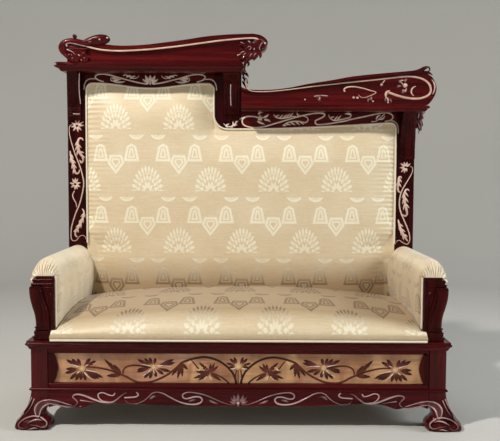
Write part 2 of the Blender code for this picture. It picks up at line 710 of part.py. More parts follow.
def arm_piping(side):
    """Cord that hides the tacks where the arm's inner cover meets the post."""
    x = side * (ARM_POST_IN - PIPING - GAP)
    y = ARM_POST_FRONT + 3 * PIPING
    points = [(x, y, RAIL_TOP + ARM_POST_HIGH * up) for up in (0.23, 0.5, 0.75, 1.0)]
    add(named("arm_piping", side), tube_mesh("piping", points, PIPING, 2), CORD)


# Seat

def seat_height(share, y):
    """Height of the seat's top; share runs from -1 at one arm to 1 at the other."""
    along = (y - SEAT_FRONT) / (SEAT_REAR - SEAT_FRONT)
    roll = min(1.0, max(0.0, (y - SEAT_FRONT) / SEAT_ROLL))
    rise = math.sqrt(1 - (1 - roll) ** 2)
    lip = RAIL_TOP + SEAT_LIP
    swell = math.sin(min(1.0, 1.3 * along) * math.pi / 2)
    middle = lip + (SEAT_CROWN - lip) * (SEAT_SHOULDER * rise + (1 - SEAT_SHOULDER) * swell)
    side = lip + (SEAT_SIDE_FRONT - lip) * rise + (SEAT_SIDE_REAR - SEAT_SIDE_FRONT) * along
    return side + (middle - side) * (1 - abs(share) ** 2.6)


def seat_ring(y, ear, top=None):
    """Section across the seat: flat underneath, sides against the arms, a crown on top."""
    low = RAIL_TOP + GAP
    points = []
    for side in (1, -1):
        edge_z = min(seat_height(1.0, y), top or 1.0)
        heights = [low, low + 0.5 * (edge_z - low), edge_z - 0.002]
        half = [SEAT_EAR if ear else arm_inner(z, y) - SEAT_CLEAR for z in heights]
        flank = [(side * h, y, z) for h, z in zip(half, heights)]
        if side > 0:
            points += flank
            reach = half[-1] - 0.004
            for i in range(13):
                share = 1 - i / 6
                z = seat_height(share, y)
                if top is not None:
                    z = min(z, top)
                points.append((reach * share, y, z))
        else:
            points += reversed(flank)
    return points


def seat_cushion():
    """Sprung and stuffed seat with a rolled front border that laps the arm posts."""
    lap = ARM_POST_FRONT - ARM_POST_STEP - SEAT_CLEAR
    rings = [seat_ring(SEAT_FRONT + (lap - GAP - SEAT_FRONT) * s, True) for s in (0, 0.2, 0.55, 1)]
    rings.append(seat_ring(lap, False))
    rings += [seat_ring(SEAT_FRONT + SEAT_ROLL * s, False) for s in (0.35, 0.62, 1)]
    full = SEAT_FRONT + SEAT_ROLL
    rings += [seat_ring(full + (SEAT_REAR - full) * s, False) for s in (0.19, 0.46, 0.73, 1)]
    flap = BACK_SILL - GAP - SEAT_TUCK
    rings.append(seat_ring(SEAT_REAR + 0.001, False, flap))
    rings.append(seat_ring(BACK_FRONT - 2 * GAP, False, flap - SEAT_TUCK))
    loft("seat_cushion", rings, DAMASK)


def seat_piping():
    """Cord along the foot of the seat's front border."""
    y = SEAT_FRONT - PIPING - GAP
    z = RAIL_TOP + GAP + PIPING
    half = SEAT_EAR - PIPING
    points = [(-half, y, z), (-half / 2, y, z), (0, y, z), (half / 2, y, z), (half, y, z)]
    add("seat_piping", tube_mesh("piping", points, PIPING, 2), CORD)


# Back frame

def right_rail_under(x):
    """Lower edge of the right top rail, which rises towards the stile."""
    inner = STILE_OUT - STILE_WIDE
    share = min(1.0, max(0.0, (x - STEP_RIGHT) / (inner - STEP_RIGHT)))
    return RIGHT_UNDER - RIGHT_RAIL_DEEP + RIGHT_RAIL_RISE * share ** 1.5


def left_rail_under(x):
    """Lower edge of the scalloped left top rail, deepest in the middle."""
    left, right = STILE_WIDE - STILE_OUT, STEP_RIGHT - STEP_WIDE
    share = (x - left) / (right - left)
    dip = math.sin(math.pi * min(1.0, max(0.0, (share - 0.08) / 0.84))) ** 2
    return LEFT_UNDER - LEFT_RAIL_DEEP - LEFT_RAIL_DIP * dip


def corner_drop(near_edge, radius):
    """How far a rounded corner lies under the straight edge, at a distance from the side."""
    across = max(0.0, radius - near_edge)
    return radius - math.sqrt(max(0.0, radius ** 2 - across ** 2))


def left_edge(inset):
    """The opening's upper outline under the left rail, from the stile to the step."""
    left = STILE_WIDE - STILE_OUT + inset
    right = STEP_RIGHT - STEP_WIDE - inset
    radius = CORNER - inset
    columns = [left + radius * s for s in (0, 0.1, 0.4, 1)] + [-PAD_BESIDE]
    columns += [left + (right - left) * s for s in (0.18, 0.34, 0.5, 0.66, 0.82)]
    columns += [right - radius * s for s in (1, 0.4, 0.1, 0)]
    return [
        (x, left_rail_under(x) - inset - corner_drop(min(x - left, right - x), radius))
        for x in sorted(columns)
    ]


def step_edge(inset):
    """The rounded inner corner of the step, down from its side to the right rail."""
    left = STEP_RIGHT - STEP_WIDE - inset
    turn = STEP_ROUND + inset
    base = right_rail_under(STEP_RIGHT) - inset
    points = []
    for s in (0, 0.08, 0.3, 0.6, 1):
        points.append((left + turn * s, base + turn - turn * math.sqrt(max(0.0, 1 - (1 - s) ** 2))))
    return points


def right_edge(inset):
    """The opening's upper outline under the right rail, from the step to the stile."""
    right = STILE_OUT - STILE_WIDE - inset
    radius = CORNER - inset
    columns = [STEP_RIGHT + (right - STEP_RIGHT) * s for s in (0, 0.18, 0.36, 0.54, 0.72, 0.86)]
    columns += [PAD_BESIDE] + [right - radius * s for s in (1, 0.4, 0.1, 0)]
    return [
        (x, right_rail_under(x) - inset - corner_drop(right - x, radius))
        for x in sorted(columns)
    ]


def top_rails():
    """Left and right top rails and the short stile between them, cut to the opening."""
    near, far = BACK_FRONT, BACK_FRONT + BACK_THICK
    inner = STILE_OUT - STILE_WIDE
    step_left = STEP_RIGHT - STEP_WIDE
    left_top = LEFT_UNDER - GAP
    right_top = RIGHT_UNDER - GAP
    first, last = GAP - inner, step_left - GAP
    lower = [(min(max(x, first), last), z) for x, z in left_edge(0)]
    plate("left_top_rail", [*lower, (last, left_top), (first, left_top)], near, far, MAHOGANY)
    foot = right_rail_under(STEP_RIGHT)
    outline = [*step_edge(0), (STEP_RIGHT, foot), (STEP_RIGHT, left_top), (step_left, left_top)]
    plate("step_stile", outline, near, far, MAHOGANY)
    first, last = STEP_RIGHT + GAP, inner - GAP
    lower = [(min(max(x, first), last), z) for x, z in right_edge(0)]
    plate("right_top_rail", [*lower, (last, right_top), (first, right_top)], near, far, MAHOGANY)


def back_sill():
    half = STILE_OUT - STILE_WIDE - GAP
    low = (-half, BACK_FRONT + SILL_INSET, BACK_SILL - BACK_SILL_DEEP)
    high = (half, BACK_FRONT + BACK_THICK - SILL_INSET, BACK_SILL - GAP)
    block("back_sill", low, high, MAHOGANY)


def back_cover():
    """Lined board that closes the back behind the padding."""
    half = STILE_OUT - STILE_WIDE - GAP
    edge = left_edge(GAP)[:-1] + step_edge(GAP) + right_edge(GAP)
    outline = [*edge, (half, BACK_SILL), (-half, BACK_SILL)]
    far = BACK_FRONT + BACK_THICK - COVER_INSET
    plate("back_cover", outline, far - COVER_THICK, far, DAMASK, bevel=0.0)


def pad_front(x, z):
    """Front face of the back pad: flat at its edges and beside the arms, crowned between."""
    def rise(space):
        return math.sin(min(1.0, max(0.0, space / PAD_ROLL)) * math.pi / 2)

    half = STILE_OUT - STILE_WIDE
    step = STEP_RIGHT - STEP_WIDE
    foot = right_rail_under(STEP_RIGHT)
    beside = min(1.0, max(0.0, (z - ARM_ROLL_TOP - PAD_OVER_ARM) / PAD_FADE))
    crown = rise(PAD_BESIDE + (half - PAD_BESIDE) * beside - abs(x))
    if x >= step:
        crown *= rise(right_rail_under(x) - z)
    else:
        crown *= rise(math.hypot(step - x, max(0.0, foot - z))) * rise(left_rail_under(x) - z)
    return BACK_FRONT + GAP - PAD_CROWN * crown


def back_pad():
    """Stuffed back with the frame's stepped outline, on a grid that follows the opening."""
    left, fillet, right = left_edge(GAP), step_edge(GAP), right_edge(GAP)
    low = BACK_SILL
    columns = [(x, fillet[0][1], high) for x, high in left]
    columns += [(x, top, None) for x, top in fillet[1:] + right]
    bm = bmesh.new()
    below = 4
    rows = below + 8
    more = 4
    arm_top = ARM_ROLL_TOP + PAD_OVER_ARM
    grid = {}
    for i, (x, middle, high) in enumerate(columns):
        for j in range(rows + 1):
            z = low + (arm_top - low) * j / below
            if j > below:
                z = arm_top + (middle - arm_top) * (j - below) / (rows - below)
            grid[i, j] = bm.verts.new((x, pad_front(x, z), z))
        if high is not None:
            for j in range(1, more + 1):
                z = middle + (high - middle) * j / more
                grid[i, rows + j] = bm.verts.new((x, pad_front(x, z), z))
    for i, j in list(grid):
        corners = [(i, j), (i + 1, j), (i + 1, j + 1), (i, j + 1)]
        if all(c in grid for c in corners):
            bm.faces.new([grid[c] for c in corners])
    edge = [e for e in bm.edges if e.is_boundary]
    sides = bmesh.ops.extrude_edge_only(bm, edges=edge)["geom"]
    for item in sides:
        if isinstance(item, bmesh.types.BMVert):
            item.co.y = BACK_FRONT + PAD_THICK
    rim = [e for e in sides if isinstance(e, bmesh.types.BMEdge) and e.is_boundary]
    bmesh.ops.contextual_create(bm, geom=rim)
    bmesh.ops.recalc_face_normals(bm, faces=bm.faces)
    mesh = bpy.data.meshes.new("back_pad")
    bm.to_mesh(mesh)
    bm.free()
    add("back_pad", mesh, DAMASK)


# Crests

def board_with_moulding(name, x0, x1, y0, y1, low, profile, left, right):
    """A board whose front, and ends where asked, carry a moulding with true mitres."""
    rings = []
    for out, up in profile:
        a, b, front = x0 - out * left, x1 + out * right, y0 - out
        rings.append([(x, y, low + up) for x, y in ((a, front), (b, front), (b, y1), (a, y1))])
    loft(name, rings, MAHOGANY)


def left_crest_line():
    """Top line of the left crest as (x, height over the cornice): a long dip, then a swell."""
    left = -STILE_OUT
    right = STEP_RIGHT + LEFT_CREST_TAIL
    span = right - left
    shares = [(0.135, 0.724), (0.165, 0.677), (0.225, 0.598), (0.28, 0.567), (0.345, 0.575),
              (0.43, 0.622), (0.59, 0.772), (0.71, 0.906), (0.83, 0.976), (0.93, 1.0)]
    return [(left + span * s, LEFT_CREST_HIGH * h) for s, h in shares]


def ribbon(line, thick, tip=None, taper=12):
    """Outline of a strip under a line, square to it; it thins to tip over its last points."""
    under = []
    tip = thick if tip is None else tip
    for i, p in enumerate(line):
        a, b = Vector(line[max(0, i - 1)]), Vector(line[min(len(line) - 1, i + 1)])
        way = (b - a).normalized()
        share = max(0.0, (i - (len(line) - 1 - taper)) / taper)
        deep = thick + (tip - thick) * share ** 0.6
        under.append((p[0] + way.y * deep, p[1] - way.x * deep))
    return [*line, *reversed(under)]


def crest_box(word, outline):
    """Front and back boards of a crest, which stand on its cornice and carry its cap."""
    rear = BACK_FRONT + BACK_THICK
    plate(f"{word}_board", outline, CREST_FRONT, CREST_FRONT + CREST_BOARD, MAHOGANY, bevel=0.0)
    rear -= CREST_BACK_INSET
    plate(f"{word}_back", outline, rear - CREST_BACK, rear, MAHOGANY, bevel=0.0)


def crest_end(name, edge, low):
    """Bent board that closes a crest's end, between its front and back boards."""
    near = CREST_FRONT + CREST_BOARD + GAP
    far = BACK_FRONT + BACK_THICK - CREST_BACK_INSET - CREST_BACK - GAP
    outline = [(x, max(z, low)) for x, z in ribbon(edge, CREST_END)]
    plate(name, outline, near, far, MAHOGANY, bevel=0.0)


def left_crest():
    rear = BACK_FRONT + BACK_THICK
    base = LEFT_UNDER + CREST_CORNICE[-1][1]
    widest = max(out for out, up in CREST_CORNICE)
    board_with_moulding(
        "left_crest_cornice", -STILE_OUT, STEP_RIGHT, CREST_FRONT, rear, LEFT_UNDER, CREST_CORNICE,
        LEFT_CREST_LIP / widest, 0.8
    )
    line = [(x, base + h) for x, h in left_crest_line()]
    tail = STEP_RIGHT + LEFT_CREST_TAIL
    curl = ((-1.0, 0.957), (-0.34, 0.85), (0, 0.693), (-0.29, 0.559), (-0.74, 0.488))
    top = smooth(line, 3) + smooth([
        (tail + LEFT_CREST_CURL * across, base + LEFT_CREST_HIGH * up) for across, up in curl
    ], 3)
    cap = ribbon(top, CREST_CAP, CREST_CAP_TIP)
    plate("left_crest_cap", cap, CREST_FRONT - CREST_CAP_OUT, rear, MAHOGANY, bevel=0.004)
    under = ribbon(top, CREST_CAP + GAP, CREST_CAP_TIP + GAP)[len(top):]
    under = [p for p in reversed(under) if p[0] < tail - 1.15 * LEFT_CREST_CURL]
    inner_end = [
        (STEP_RIGHT + LEFT_CREST_TAIL * across, base + max(GAP, LEFT_CREST_HIGH * up))
        for across, up in ((0.068, 0), (0.17, 0.142), (0.441, 0.276), (0.576, 0.472))
    ]
    outer_end = smooth([
        (-STILE_OUT + SCROLL_LONG * across, base + max(GAP, LEFT_CREST_HIGH * up))
        for across, up in ((0.388, 0.6), (0.243, 0.535), (0.146, 0.354), (0.107, 0.157), (0.107, 0))
    ], 2)
    crest_box("left_crest", [*inner_end, *reversed(under), *outer_end])
    crest_end("left_crest_end_inner", list(reversed(inner_end)), base + GAP)
    crest_end("left_crest_end_outer", list(reversed(outer_end)), base + GAP)
    left_scroll(base)
    left_flower(base)


def left_scroll(base):
    """Whiplash at the crest's left end: a loop back to the cornice, a budded shoot, a bead."""
    near = CREST_FRONT - SCROLL_OUT

    def at(across, up, forward=0.0):
        return (-STILE_OUT + SCROLL_LONG * across, near - SCROLL_OUT * forward, base + LEFT_CREST_HIGH * up)

    cap_x, cap_h = left_crest_line()[0]
    first = (cap_x - 10 * GAP, near, base + cap_h - CREST_CAP / 2)
    bend = [(0.403, 0.685, 0), (0.218, 0.693, 0.15), (0.068, 0.646, 0.3), (0.005, 0.528, 0.38),
            (0.029, 0.386, 0.38), (0.107, 0.26, 0.3), (0.218, 0.157, 0.15), (0.359, 0.087, 0)]
    loop = smooth([first, *(at(*p) for p in bend)], 3)
    rise = [(0.218, 0.677, 0.3), (0.413, 0.74, 0.46), (0.631, 0.819, 0.77), (0.80, 0.85, 0.92),
            (0.913, 0.835, 0.92), (1.0, 0.803, 0.92)]
    shoot = smooth([at(*p) for p in rise], 3)
    thin, thick = 0.5 * SCROLL_OUT, 1.15 * SCROLL_OUT
    swell = [thin + 0.4 * SCROLL_OUT * math.sin(math.pi * i / (len(loop) - 1)) for i in range(len(loop))]
    bud = [thin + (thick - thin) * (i / (len(shoot) - 1)) ** 1.6 for i in range(len(shoot))]
    bud[-1] = 0.7 * SCROLL_OUT
    bead = [at(0.291, up, 0.15) for up in (0.709, 0.79, 0.85, 0.92)]
    round_bead = [SCROLL_OUT * share for share in (0.31, 0.31, 0.8, 0.4)]
    scroll = add("left_crest_scroll", tube_mesh("loop", loop, swell, 1), MAHOGANY)
    fuse(scroll, [tube_mesh("shoot", shoot, bud, 1), tube_mesh("bead", bead, round_bead, 1)])


def petal_mesh(centre, length, width, thick, turn):
    """A pointed petal lying in the front plane, turned about its root."""
    rings = []
    for share, wide in ((0.02, 0.25), (0.25, 0.75), (0.55, 1.0), (0.82, 0.62), (0.99, 0.12)):
        ring = []
        for i in range(8):
            a = 2 * math.pi * i / 8
            ring.append((length * share, thick * wide ** 0.5 * math.sin(a), width * wide * math.cos(a)))
        rings.append(ring)
    mesh = loft_mesh("petal", rings)
    mesh.transform(Matrix.Translation(centre) @ Matrix.Rotation(-math.radians(turn), 4, "Y"))
    return mesh


def left_flower(base):
    """Carved flower that hangs under the crest's right end."""
    x = STEP_RIGHT + LEFT_CREST_TAIL - 1.83 * LEFT_CREST_CURL
    z = base + 0.35 * LEFT_CREST_HIGH
    centre = (x, CREST_FRONT - CREST_CAP_OUT, z)
    wide, thick = 0.21 * FLOWER_LONG, 0.18 * FLOWER_LONG
    flower = add("left_crest_flower", petal_mesh(centre, 0.6 * FLOWER_LONG, wide, thick, 5), MAHOGANY)
    turns = ((70, 0.6), (130, 0.77), (190, 1.0), (250, 0.97), (310, 0.67))
    others = [petal_mesh(centre, FLOWER_LONG * long, wide, thick, turn) for turn, long in turns]
    heart = (x - 0.2 * FLOWER_LONG, CREST_FRONT - 1.15 * CREST_CAP_OUT, z)
    others.append(petal_mesh(heart, 0.4 * FLOWER_LONG, wide, 1.2 * thick, 0))
    fuse(flower, others)


def right_crest_line():
    """Top line of the right crest as (x, height over its cornice)."""
    left = STEP_RIGHT + GAP
    span = STILE_OUT + RIGHT_CREST_TAIL - left
    shares = [(0.0, 0.506), (0.012, 0.468), (0.035, 0.437), (0.075, 0.418), (0.16, 0.424), (0.26, 0.487),
              (0.36, 0.595), (0.48, 0.696), (0.60, 0.81), (0.76, 0.899), (0.88, 0.956), (0.945, 1.0)]
    return [(left + span * s, RIGHT_CREST_HIGH * h) for s, h in shares]


def right_crest():
    rear = BACK_FRONT + BACK_THICK
    low = RIGHT_UNDER
    base = low + LOW_CORNICE[-1][1]
    left = STEP_RIGHT + GAP
    tail = STILE_OUT + RIGHT_CREST_TAIL
    far = tail - CREST_OVERHANG * 0.178
    board_with_moulding("right_crest_cornice", left, far, CREST_FRONT, rear, low, LOW_CORNICE, 0, 1.4)
    line = smooth([(x, base + h) for x, h in right_crest_line()], 3)
    cap = [(max(x, left), z) for x, z in ribbon(line, RIGHT_CREST_CAP)]
    plate("right_crest_cap", cap, CREST_FRONT - RIGHT_CREST_CAP, rear, MAHOGANY, bevel=0.003)
    under = [p for p in ribbon(line, RIGHT_CREST_CAP + GAP)[len(line):] if p[0] > left + RIGHT_CREST_CAP]

    def at(across, up):
        return (tail + RIGHT_CREST_ROUND * across, base + max(GAP, RIGHT_CREST_HIGH * up))

    bow = ((0.486, 0.797), (0.865, 0.639), (1, 0.487), (0.865, 0.329), (0.595, 0.196), (0.108, 0.051),
           (-0.27, 0))
    right_end = smooth([at(*p) for p in bow], 3)
    left_end = [(left, base + GAP), (left, base + 0.38 * RIGHT_CREST_HIGH)]
    crest_box("right_crest", [*reversed(under), at(-0.108, 0.899), *right_end, *left_end])
    crest_end("right_crest_end", right_end, base + GAP)
    right_finial(base)


def right_finial(base):
    """Curled bud that ends the right crest's cap."""
    y = CREST_FRONT + RIGHT_CREST_CAP / 6
    cap_x, cap_h = right_crest_line()[-1]
    first = (cap_x + 8.5 * GAP, y, base + cap_h - RIGHT_CREST_CAP * 0.46)
    tail = STILE_OUT + RIGHT_CREST_TAIL
    bend = [(-0.62, 0.06), (-0.33, 0.24), (-0.067, 0.20), (0.022, -0.02)]
    turn = [(tail + FINIAL_LONG * across, y, base + cap_h + FINIAL_LONG * up) for across, up in bend]
    stem = smooth([first, *turn], 3)
    thin, thick = 0.09 * FINIAL_LONG, 0.2 * FINIAL_LONG
    radii = [thin + (thick - thin) * (i / (len(stem) - 1)) ** 0.8 for i in range(len(stem))]
    add("right_crest_finial", tube_mesh("bud", stem, radii, 1), MAHOGANY)


# Corbels and leaf brackets under the crests

def corbel(name, x0, x1, top):
    """Hollow-curved bracket on the front of a stile: it runs out to the crest's cornice."""
    face = BACK_FRONT - GAP
    out = face - CREST_FRONT - CORBEL_CLEAR

    def at(forward, down):
        return (face - out * forward, top - CORBEL_HIGH * down)

    sweep = [(1, 0), (0.93, 0.057), (0.55, 0.236), (0.30, 0.448), (0.17, 0.684), (0.13, 0.873)]
    foot = [(0.09, 0.891), (0.11, 0.925), (0.06, 0.943), (0.08, 0.976), (0, 1)]
    outline = [*smooth([at(*p) for p in sweep], 3), *(at(*p) for p in foot), (face, top)]
    plate(name, outline, x0, x1, MAHOGANY, "YZ", 0.003)


def leaf_bracket(name, x, top, reach):
    """Carved leaf on a stile's side, with lobes that shrink downwards."""
    out, deep = reach
    y0 = BACK_FRONT + (BACK_THICK - LEAF_THICK) / 2
    edge = [(x + out, top)]
    for i in range(3):
        share = i / 3
        edge.append((x + out * (1.0 - 0.95 * share), top - deep * (share + 0.14)))
        edge.append((x + out * (0.72 - 0.72 * share), top - deep * (share + 0.27)))
    outline = [(x, top), *smooth(edge, 2), (x, top - deep)]
    plate(name, outline, y0, y0 + LEAF_THICK, MAHOGANY, bevel=0.002)


def piping_round_back():
    """Cord on the frame's face along the padding's edge, from arm to arm."""
    inset = -PIPING - GAP
    edge = left_edge(inset)[:-1] + step_edge(inset) + right_edge(inset)
    y = BACK_FRONT - PIPING - GAP
    low = ARM_ROLL_TOP + PAD_OVER_ARM + 2 * PIPING
    points = [(edge[0][0], y, low), *((x, y, z) for x, z in edge), (edge[-1][0], y, low)]
    add("back_piping", tube_mesh("piping", points, PIPING, 1), CORD)


def build():
    for side in (-1, 1):
        front_leg(side)
        panel_end(side)
        side_rail(side)
        side_apron(side)
        arm_post(side)
        arm_pad(side)
        arm_piping(side)
    rear_post(-1, LEFT_UNDER - GAP)
    rear_post(1, RIGHT_UNDER - GAP)
    front_rails()
    front_apron()
    rear_rail()
    run_of_moulding("cornice", CORNICE, RAIL_TOP - CORNICE[-1][1])
    run_of_moulding("bead", BEAD, WAIST_Z)
    webbing()
    for index in range(SPRING_ROWS):
        spring_row(index)
    seat_cushion()
    seat_piping()
    top_rails()
    back_sill()
    back_cover()
    back_pad()
    piping_round_back()
    left_crest()
    right_crest()
    left, right = STILE_WIDE - CORBEL_SHY_LEFT, STILE_WIDE - CORBEL_SHY_RIGHT
    corbel("corbel_left", -STILE_OUT, left - STILE_OUT, LEFT_UNDER - GAP)
    step = STEP_RIGHT - CORBEL_STEP_INSET
    corbel("corbel_middle", step - STEP_WIDE + CORBEL_SHY_STEP, step, LEFT_UNDER - GAP)
    corbel("corbel_right", STILE_OUT - right, STILE_OUT, RIGHT_UNDER - GAP)
    leaf_bracket("leaf_bracket_middle", STEP_RIGHT + GAP, LEFT_UNDER - GAP, LEAF_STEP)
    leaf_bracket("leaf_bracket_right", STILE_OUT + GAP, RIGHT_UNDER - GAP, LEAF_RIGHT)


build()
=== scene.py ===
import math

import bmesh
import bpy
import numpy as np
from mathutils import Matrix, Vector


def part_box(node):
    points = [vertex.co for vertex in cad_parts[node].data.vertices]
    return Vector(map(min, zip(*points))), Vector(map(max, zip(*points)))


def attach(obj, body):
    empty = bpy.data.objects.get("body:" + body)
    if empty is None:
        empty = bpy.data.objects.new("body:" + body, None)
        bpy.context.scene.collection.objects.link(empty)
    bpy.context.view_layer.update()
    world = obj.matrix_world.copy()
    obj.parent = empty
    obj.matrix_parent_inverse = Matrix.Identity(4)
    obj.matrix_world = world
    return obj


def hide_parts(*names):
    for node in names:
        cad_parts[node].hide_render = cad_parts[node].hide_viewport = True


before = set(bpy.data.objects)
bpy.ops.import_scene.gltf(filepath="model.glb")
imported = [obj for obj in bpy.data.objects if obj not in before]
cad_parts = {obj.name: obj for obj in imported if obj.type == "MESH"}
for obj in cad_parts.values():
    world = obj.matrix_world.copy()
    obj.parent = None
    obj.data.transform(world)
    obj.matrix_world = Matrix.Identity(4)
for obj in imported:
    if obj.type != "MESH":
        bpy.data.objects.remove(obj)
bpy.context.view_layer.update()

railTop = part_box("front_top_rail")[1].z
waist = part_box("front_bottom_rail")[0].z
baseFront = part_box("front_top_rail")[0].y - 0.004
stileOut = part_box("rear_post_right")[1].x
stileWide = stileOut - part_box("rear_post_right")[0].x
baseHalf = stileOut + 0.014
postSide = 0.066
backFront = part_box("left_top_rail")[0].y
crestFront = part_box("left_crest_board")[0].y
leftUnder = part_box("left_crest_cornice")[0].z
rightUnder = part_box("right_crest_cornice")[0].z
gap = 0.0003
hands = ((-1, "left"), (1, "right"))


# Camera at the photograph's place; onPhoto puts a pixel of it on an upright plane.
view = {"place": (0.042, -3.31, 1.011), "tilt": 3.7, "roll": 0.25, "lens": 56.16, "film": 36.0,
        "photoWide": 500, "photoHigh": 441}


def addCamera():
    data = bpy.data.cameras.new("camera")
    data.lens = view["lens"]
    data.sensor_width = view["film"]
    data.clip_end = 60
    camera = bpy.data.objects.new("camera", data)
    bpy.context.scene.collection.objects.link(camera)
    turn = Matrix.Rotation(math.radians(90 - view["tilt"]), 4, "X")
    roll = Matrix.Rotation(math.radians(view["roll"]), 4, "Z")
    camera.matrix_world = Matrix.Translation(view["place"]) @ turn @ roll
    bpy.context.scene.camera = camera


# x and z where the photograph's pixels meet the upright plane y = depth.
def onPhoto(pixels, depth):
    pixels = np.asarray(pixels, float).reshape(-1, 2)
    focal = view["lens"] / view["film"] * view["photoWide"]
    u = pixels[:, 0] - view["photoWide"] / 2
    v = pixels[:, 1] - view["photoHigh"] / 2
    c, s = math.cos(math.radians(view["roll"])), math.sin(math.radians(view["roll"]))
    u, v = (c * u + s * v) / focal, (c * v - s * u) / focal
    tilt = math.radians(view["tilt"])
    forward = math.cos(tilt) - v * math.sin(tilt)
    reach = (depth - view["place"][1]) / forward
    x = view["place"][0] + reach * u
    z = view["place"][2] - reach * (v * math.cos(tilt) + math.sin(tilt))
    return np.stack([x, z], 1)


addCamera()
print("camera is set")


# Curves and surfaces as whole arrays

# Catmull-Rom curve through the points: each span is a cubic whose slope at a point is half of the step
# between that point's neighbours.
def flow(points, steps=6):
    p = np.asarray(points, float)
    p = np.vstack([2 * p[0] - p[1], p, 2 * p[-1] - p[-2]])
    a, b, c, d = (p[k:len(p) - 3 + k, None] for k in range(4))
    t = np.linspace(0, 1, steps, endpoint=False)[None, :, None]
    curve = b + 0.5 * t * (c - a + t * (2 * a - 5 * b + 4 * c - d + t * (3 * b - a - 3 * c + d)))
    return np.vstack([curve.reshape(-1, p.shape[1]), p[-2:-1]])


# Equal steps of angle once round.
def circle(count):
    return np.linspace(0, 2 * math.pi, count, endpoint=False)


# Points from their coordinates, which may be numbers or arrays that fit each other.
def joined(*parts):
    return np.stack(np.broadcast_arrays(*parts), -1)


# Distance along a path at each of its points.
def walked(path):
    return np.concatenate([[0], np.cumsum(np.linalg.norm(np.diff(path, axis=0), axis=1))])


# Places on a path at given distances along it.
def placesAt(path, distances):
    gone = walked(path)
    return np.stack([np.interp(distances, gone, path[:, k]) for k in range(path.shape[1])], 1)


# The same path in equal steps of about the spacing.
def evenly(path, spacing):
    whole = walked(path)[-1]
    return placesAt(path, np.linspace(0, whole, max(5, int(round(whole / spacing)) + 1)))


# Unit vectors square to a flat path, to its left.
def across(path):
    way = np.gradient(path, axis=0)
    way /= np.linalg.norm(way, axis=1, keepdims=True) + 1e-12
    return np.stack([-way[:, 1], way[:, 0]], 1)


# Corner numbers of a grid's faces; loop closes each row on itself.
def quads(rows, columns, loop=True):
    i, j = np.meshgrid(np.arange(rows - 1), np.arange(columns if loop else columns - 1), indexing="ij")
    m = (j + 1) % columns
    corners = [i * columns + j, i * columns + m, (i + 1) * columns + m, (i + 1) * columns + j]
    return np.stack(corners, -1).reshape(-1, 4)


# A tube from a grid of points, each row a ring, closed at its ends with faces. Values are numbers or
# vectors at each point, kept for the material.
def shell(grid, ends=True, **values):
    rows, columns = grid.shape[:2]
    caps = [list(range(columns)), list(range((rows - 1) * columns, rows * columns))] if ends else []
    flat = {key: np.broadcast_to(value, grid.shape[:2] + value.shape[2:]).reshape(
        rows * columns, *value.shape[2:]) for key, value in values.items()}
    return {"at": grid.reshape(-1, 3), "faces": quads(rows, columns).tolist() + caps, "values": flat}


weldWithin = 0.000004
collection = bpy.data.collections.new("dressing")
bpy.context.scene.collection.children.link(collection)


# One mesh object from shells: merged doubles, outward normals, creases over an angle.
def makePiece(name, shells, material, stands=(), crease=40):
    points, faces, count = [], [], 0
    for one in shells:
        points.append(one["at"])
        faces += [[corner + count for corner in face] for face in one["faces"]]
        count += len(one["at"])
    mesh = bpy.data.meshes.new(name)
    mesh.from_pydata(np.vstack(points).tolist(), [], faces)
    for key in shells[0]["values"]:
        data = np.concatenate([one["values"][key] for one in shells]).astype(np.float32)
        kind = "FLOAT_VECTOR" if data.ndim == 2 else "FLOAT"
        layer = mesh.attributes.new(key, kind, "POINT")
        layer.data.foreach_set("vector" if data.ndim == 2 else "value", data.ravel())
    bm = bmesh.new()
    bm.from_mesh(mesh)
    bmesh.ops.remove_doubles(bm, verts=bm.verts, dist=weldWithin)
    bmesh.ops.dissolve_degenerate(bm, edges=bm.edges, dist=weldWithin)
    bmesh.ops.recalc_face_normals(bm, faces=bm.faces)
    bm.to_mesh(mesh)
    bm.free()
    mesh.shade_smooth()
    mesh.set_sharp_from_angle(angle=math.radians(crease))
    mesh.materials.append(material)
    made = bpy.data.objects.new(name, mesh)
    collection.objects.link(made)
    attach(made, "root")
    if stands:
        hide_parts(*stands)
    return made


# Node helpers for the materials

def newMaterial(name):
    made = bpy.data.materials.new(name)
    made.use_nodes = True
    tree = made.node_tree
    return made, tree, tree.nodes["Principled BSDF"]


def wire(tree, value, socket):
    if isinstance(value, (int, float, tuple, list)):
        socket.default_value = value
    else:
        tree.links.new(value, socket)


# Numbers and colours put on a node's own sockets.
def setSockets(node, values):
    for key, value in values.items():
        node.inputs[key].default_value = value


def maths(tree, operation, *values):
    made = tree.nodes.new("ShaderNodeMath")
    made.operation = operation
    for value, socket in zip(values, made.inputs):
        wire(tree, value, socket)
    return made.outputs[0]


def plus(tree, one, other):
    return maths(tree, "ADD", one, other)


def minus(tree, one, other):
    return maths(tree, "SUBTRACT", one, other)


def times(tree, one, other):
    return maths(tree, "MULTIPLY", one, other)


def hypotenuse(tree, x, y):
    return maths(tree, "SQRT", plus(tree, times(tree, x, x), times(tree, y, y)))


def stretched(tree, vector, scale):
    mapping = tree.nodes.new("ShaderNodeMapping")
    mapping.inputs["Scale"].default_value = scale
    tree.links.new(vector, mapping.inputs["Vector"])
    return mapping.outputs[0]


def objectPoint(tree, scale=(1, 1, 1)):
    return stretched(tree, tree.nodes.new("ShaderNodeTexCoord").outputs["Object"], scale)


# First two coordinates of a cloth attribute.
def flatParts(tree, vector):
    made = tree.nodes.new("ShaderNodeSeparateXYZ")
    tree.links.new(vector, made.inputs[0])
    return made.outputs[0], made.outputs[1]


def attribute(tree, name, output="Vector"):
    made = tree.nodes.new("ShaderNodeAttribute")
    made.attribute_name = name
    return made.outputs[output]


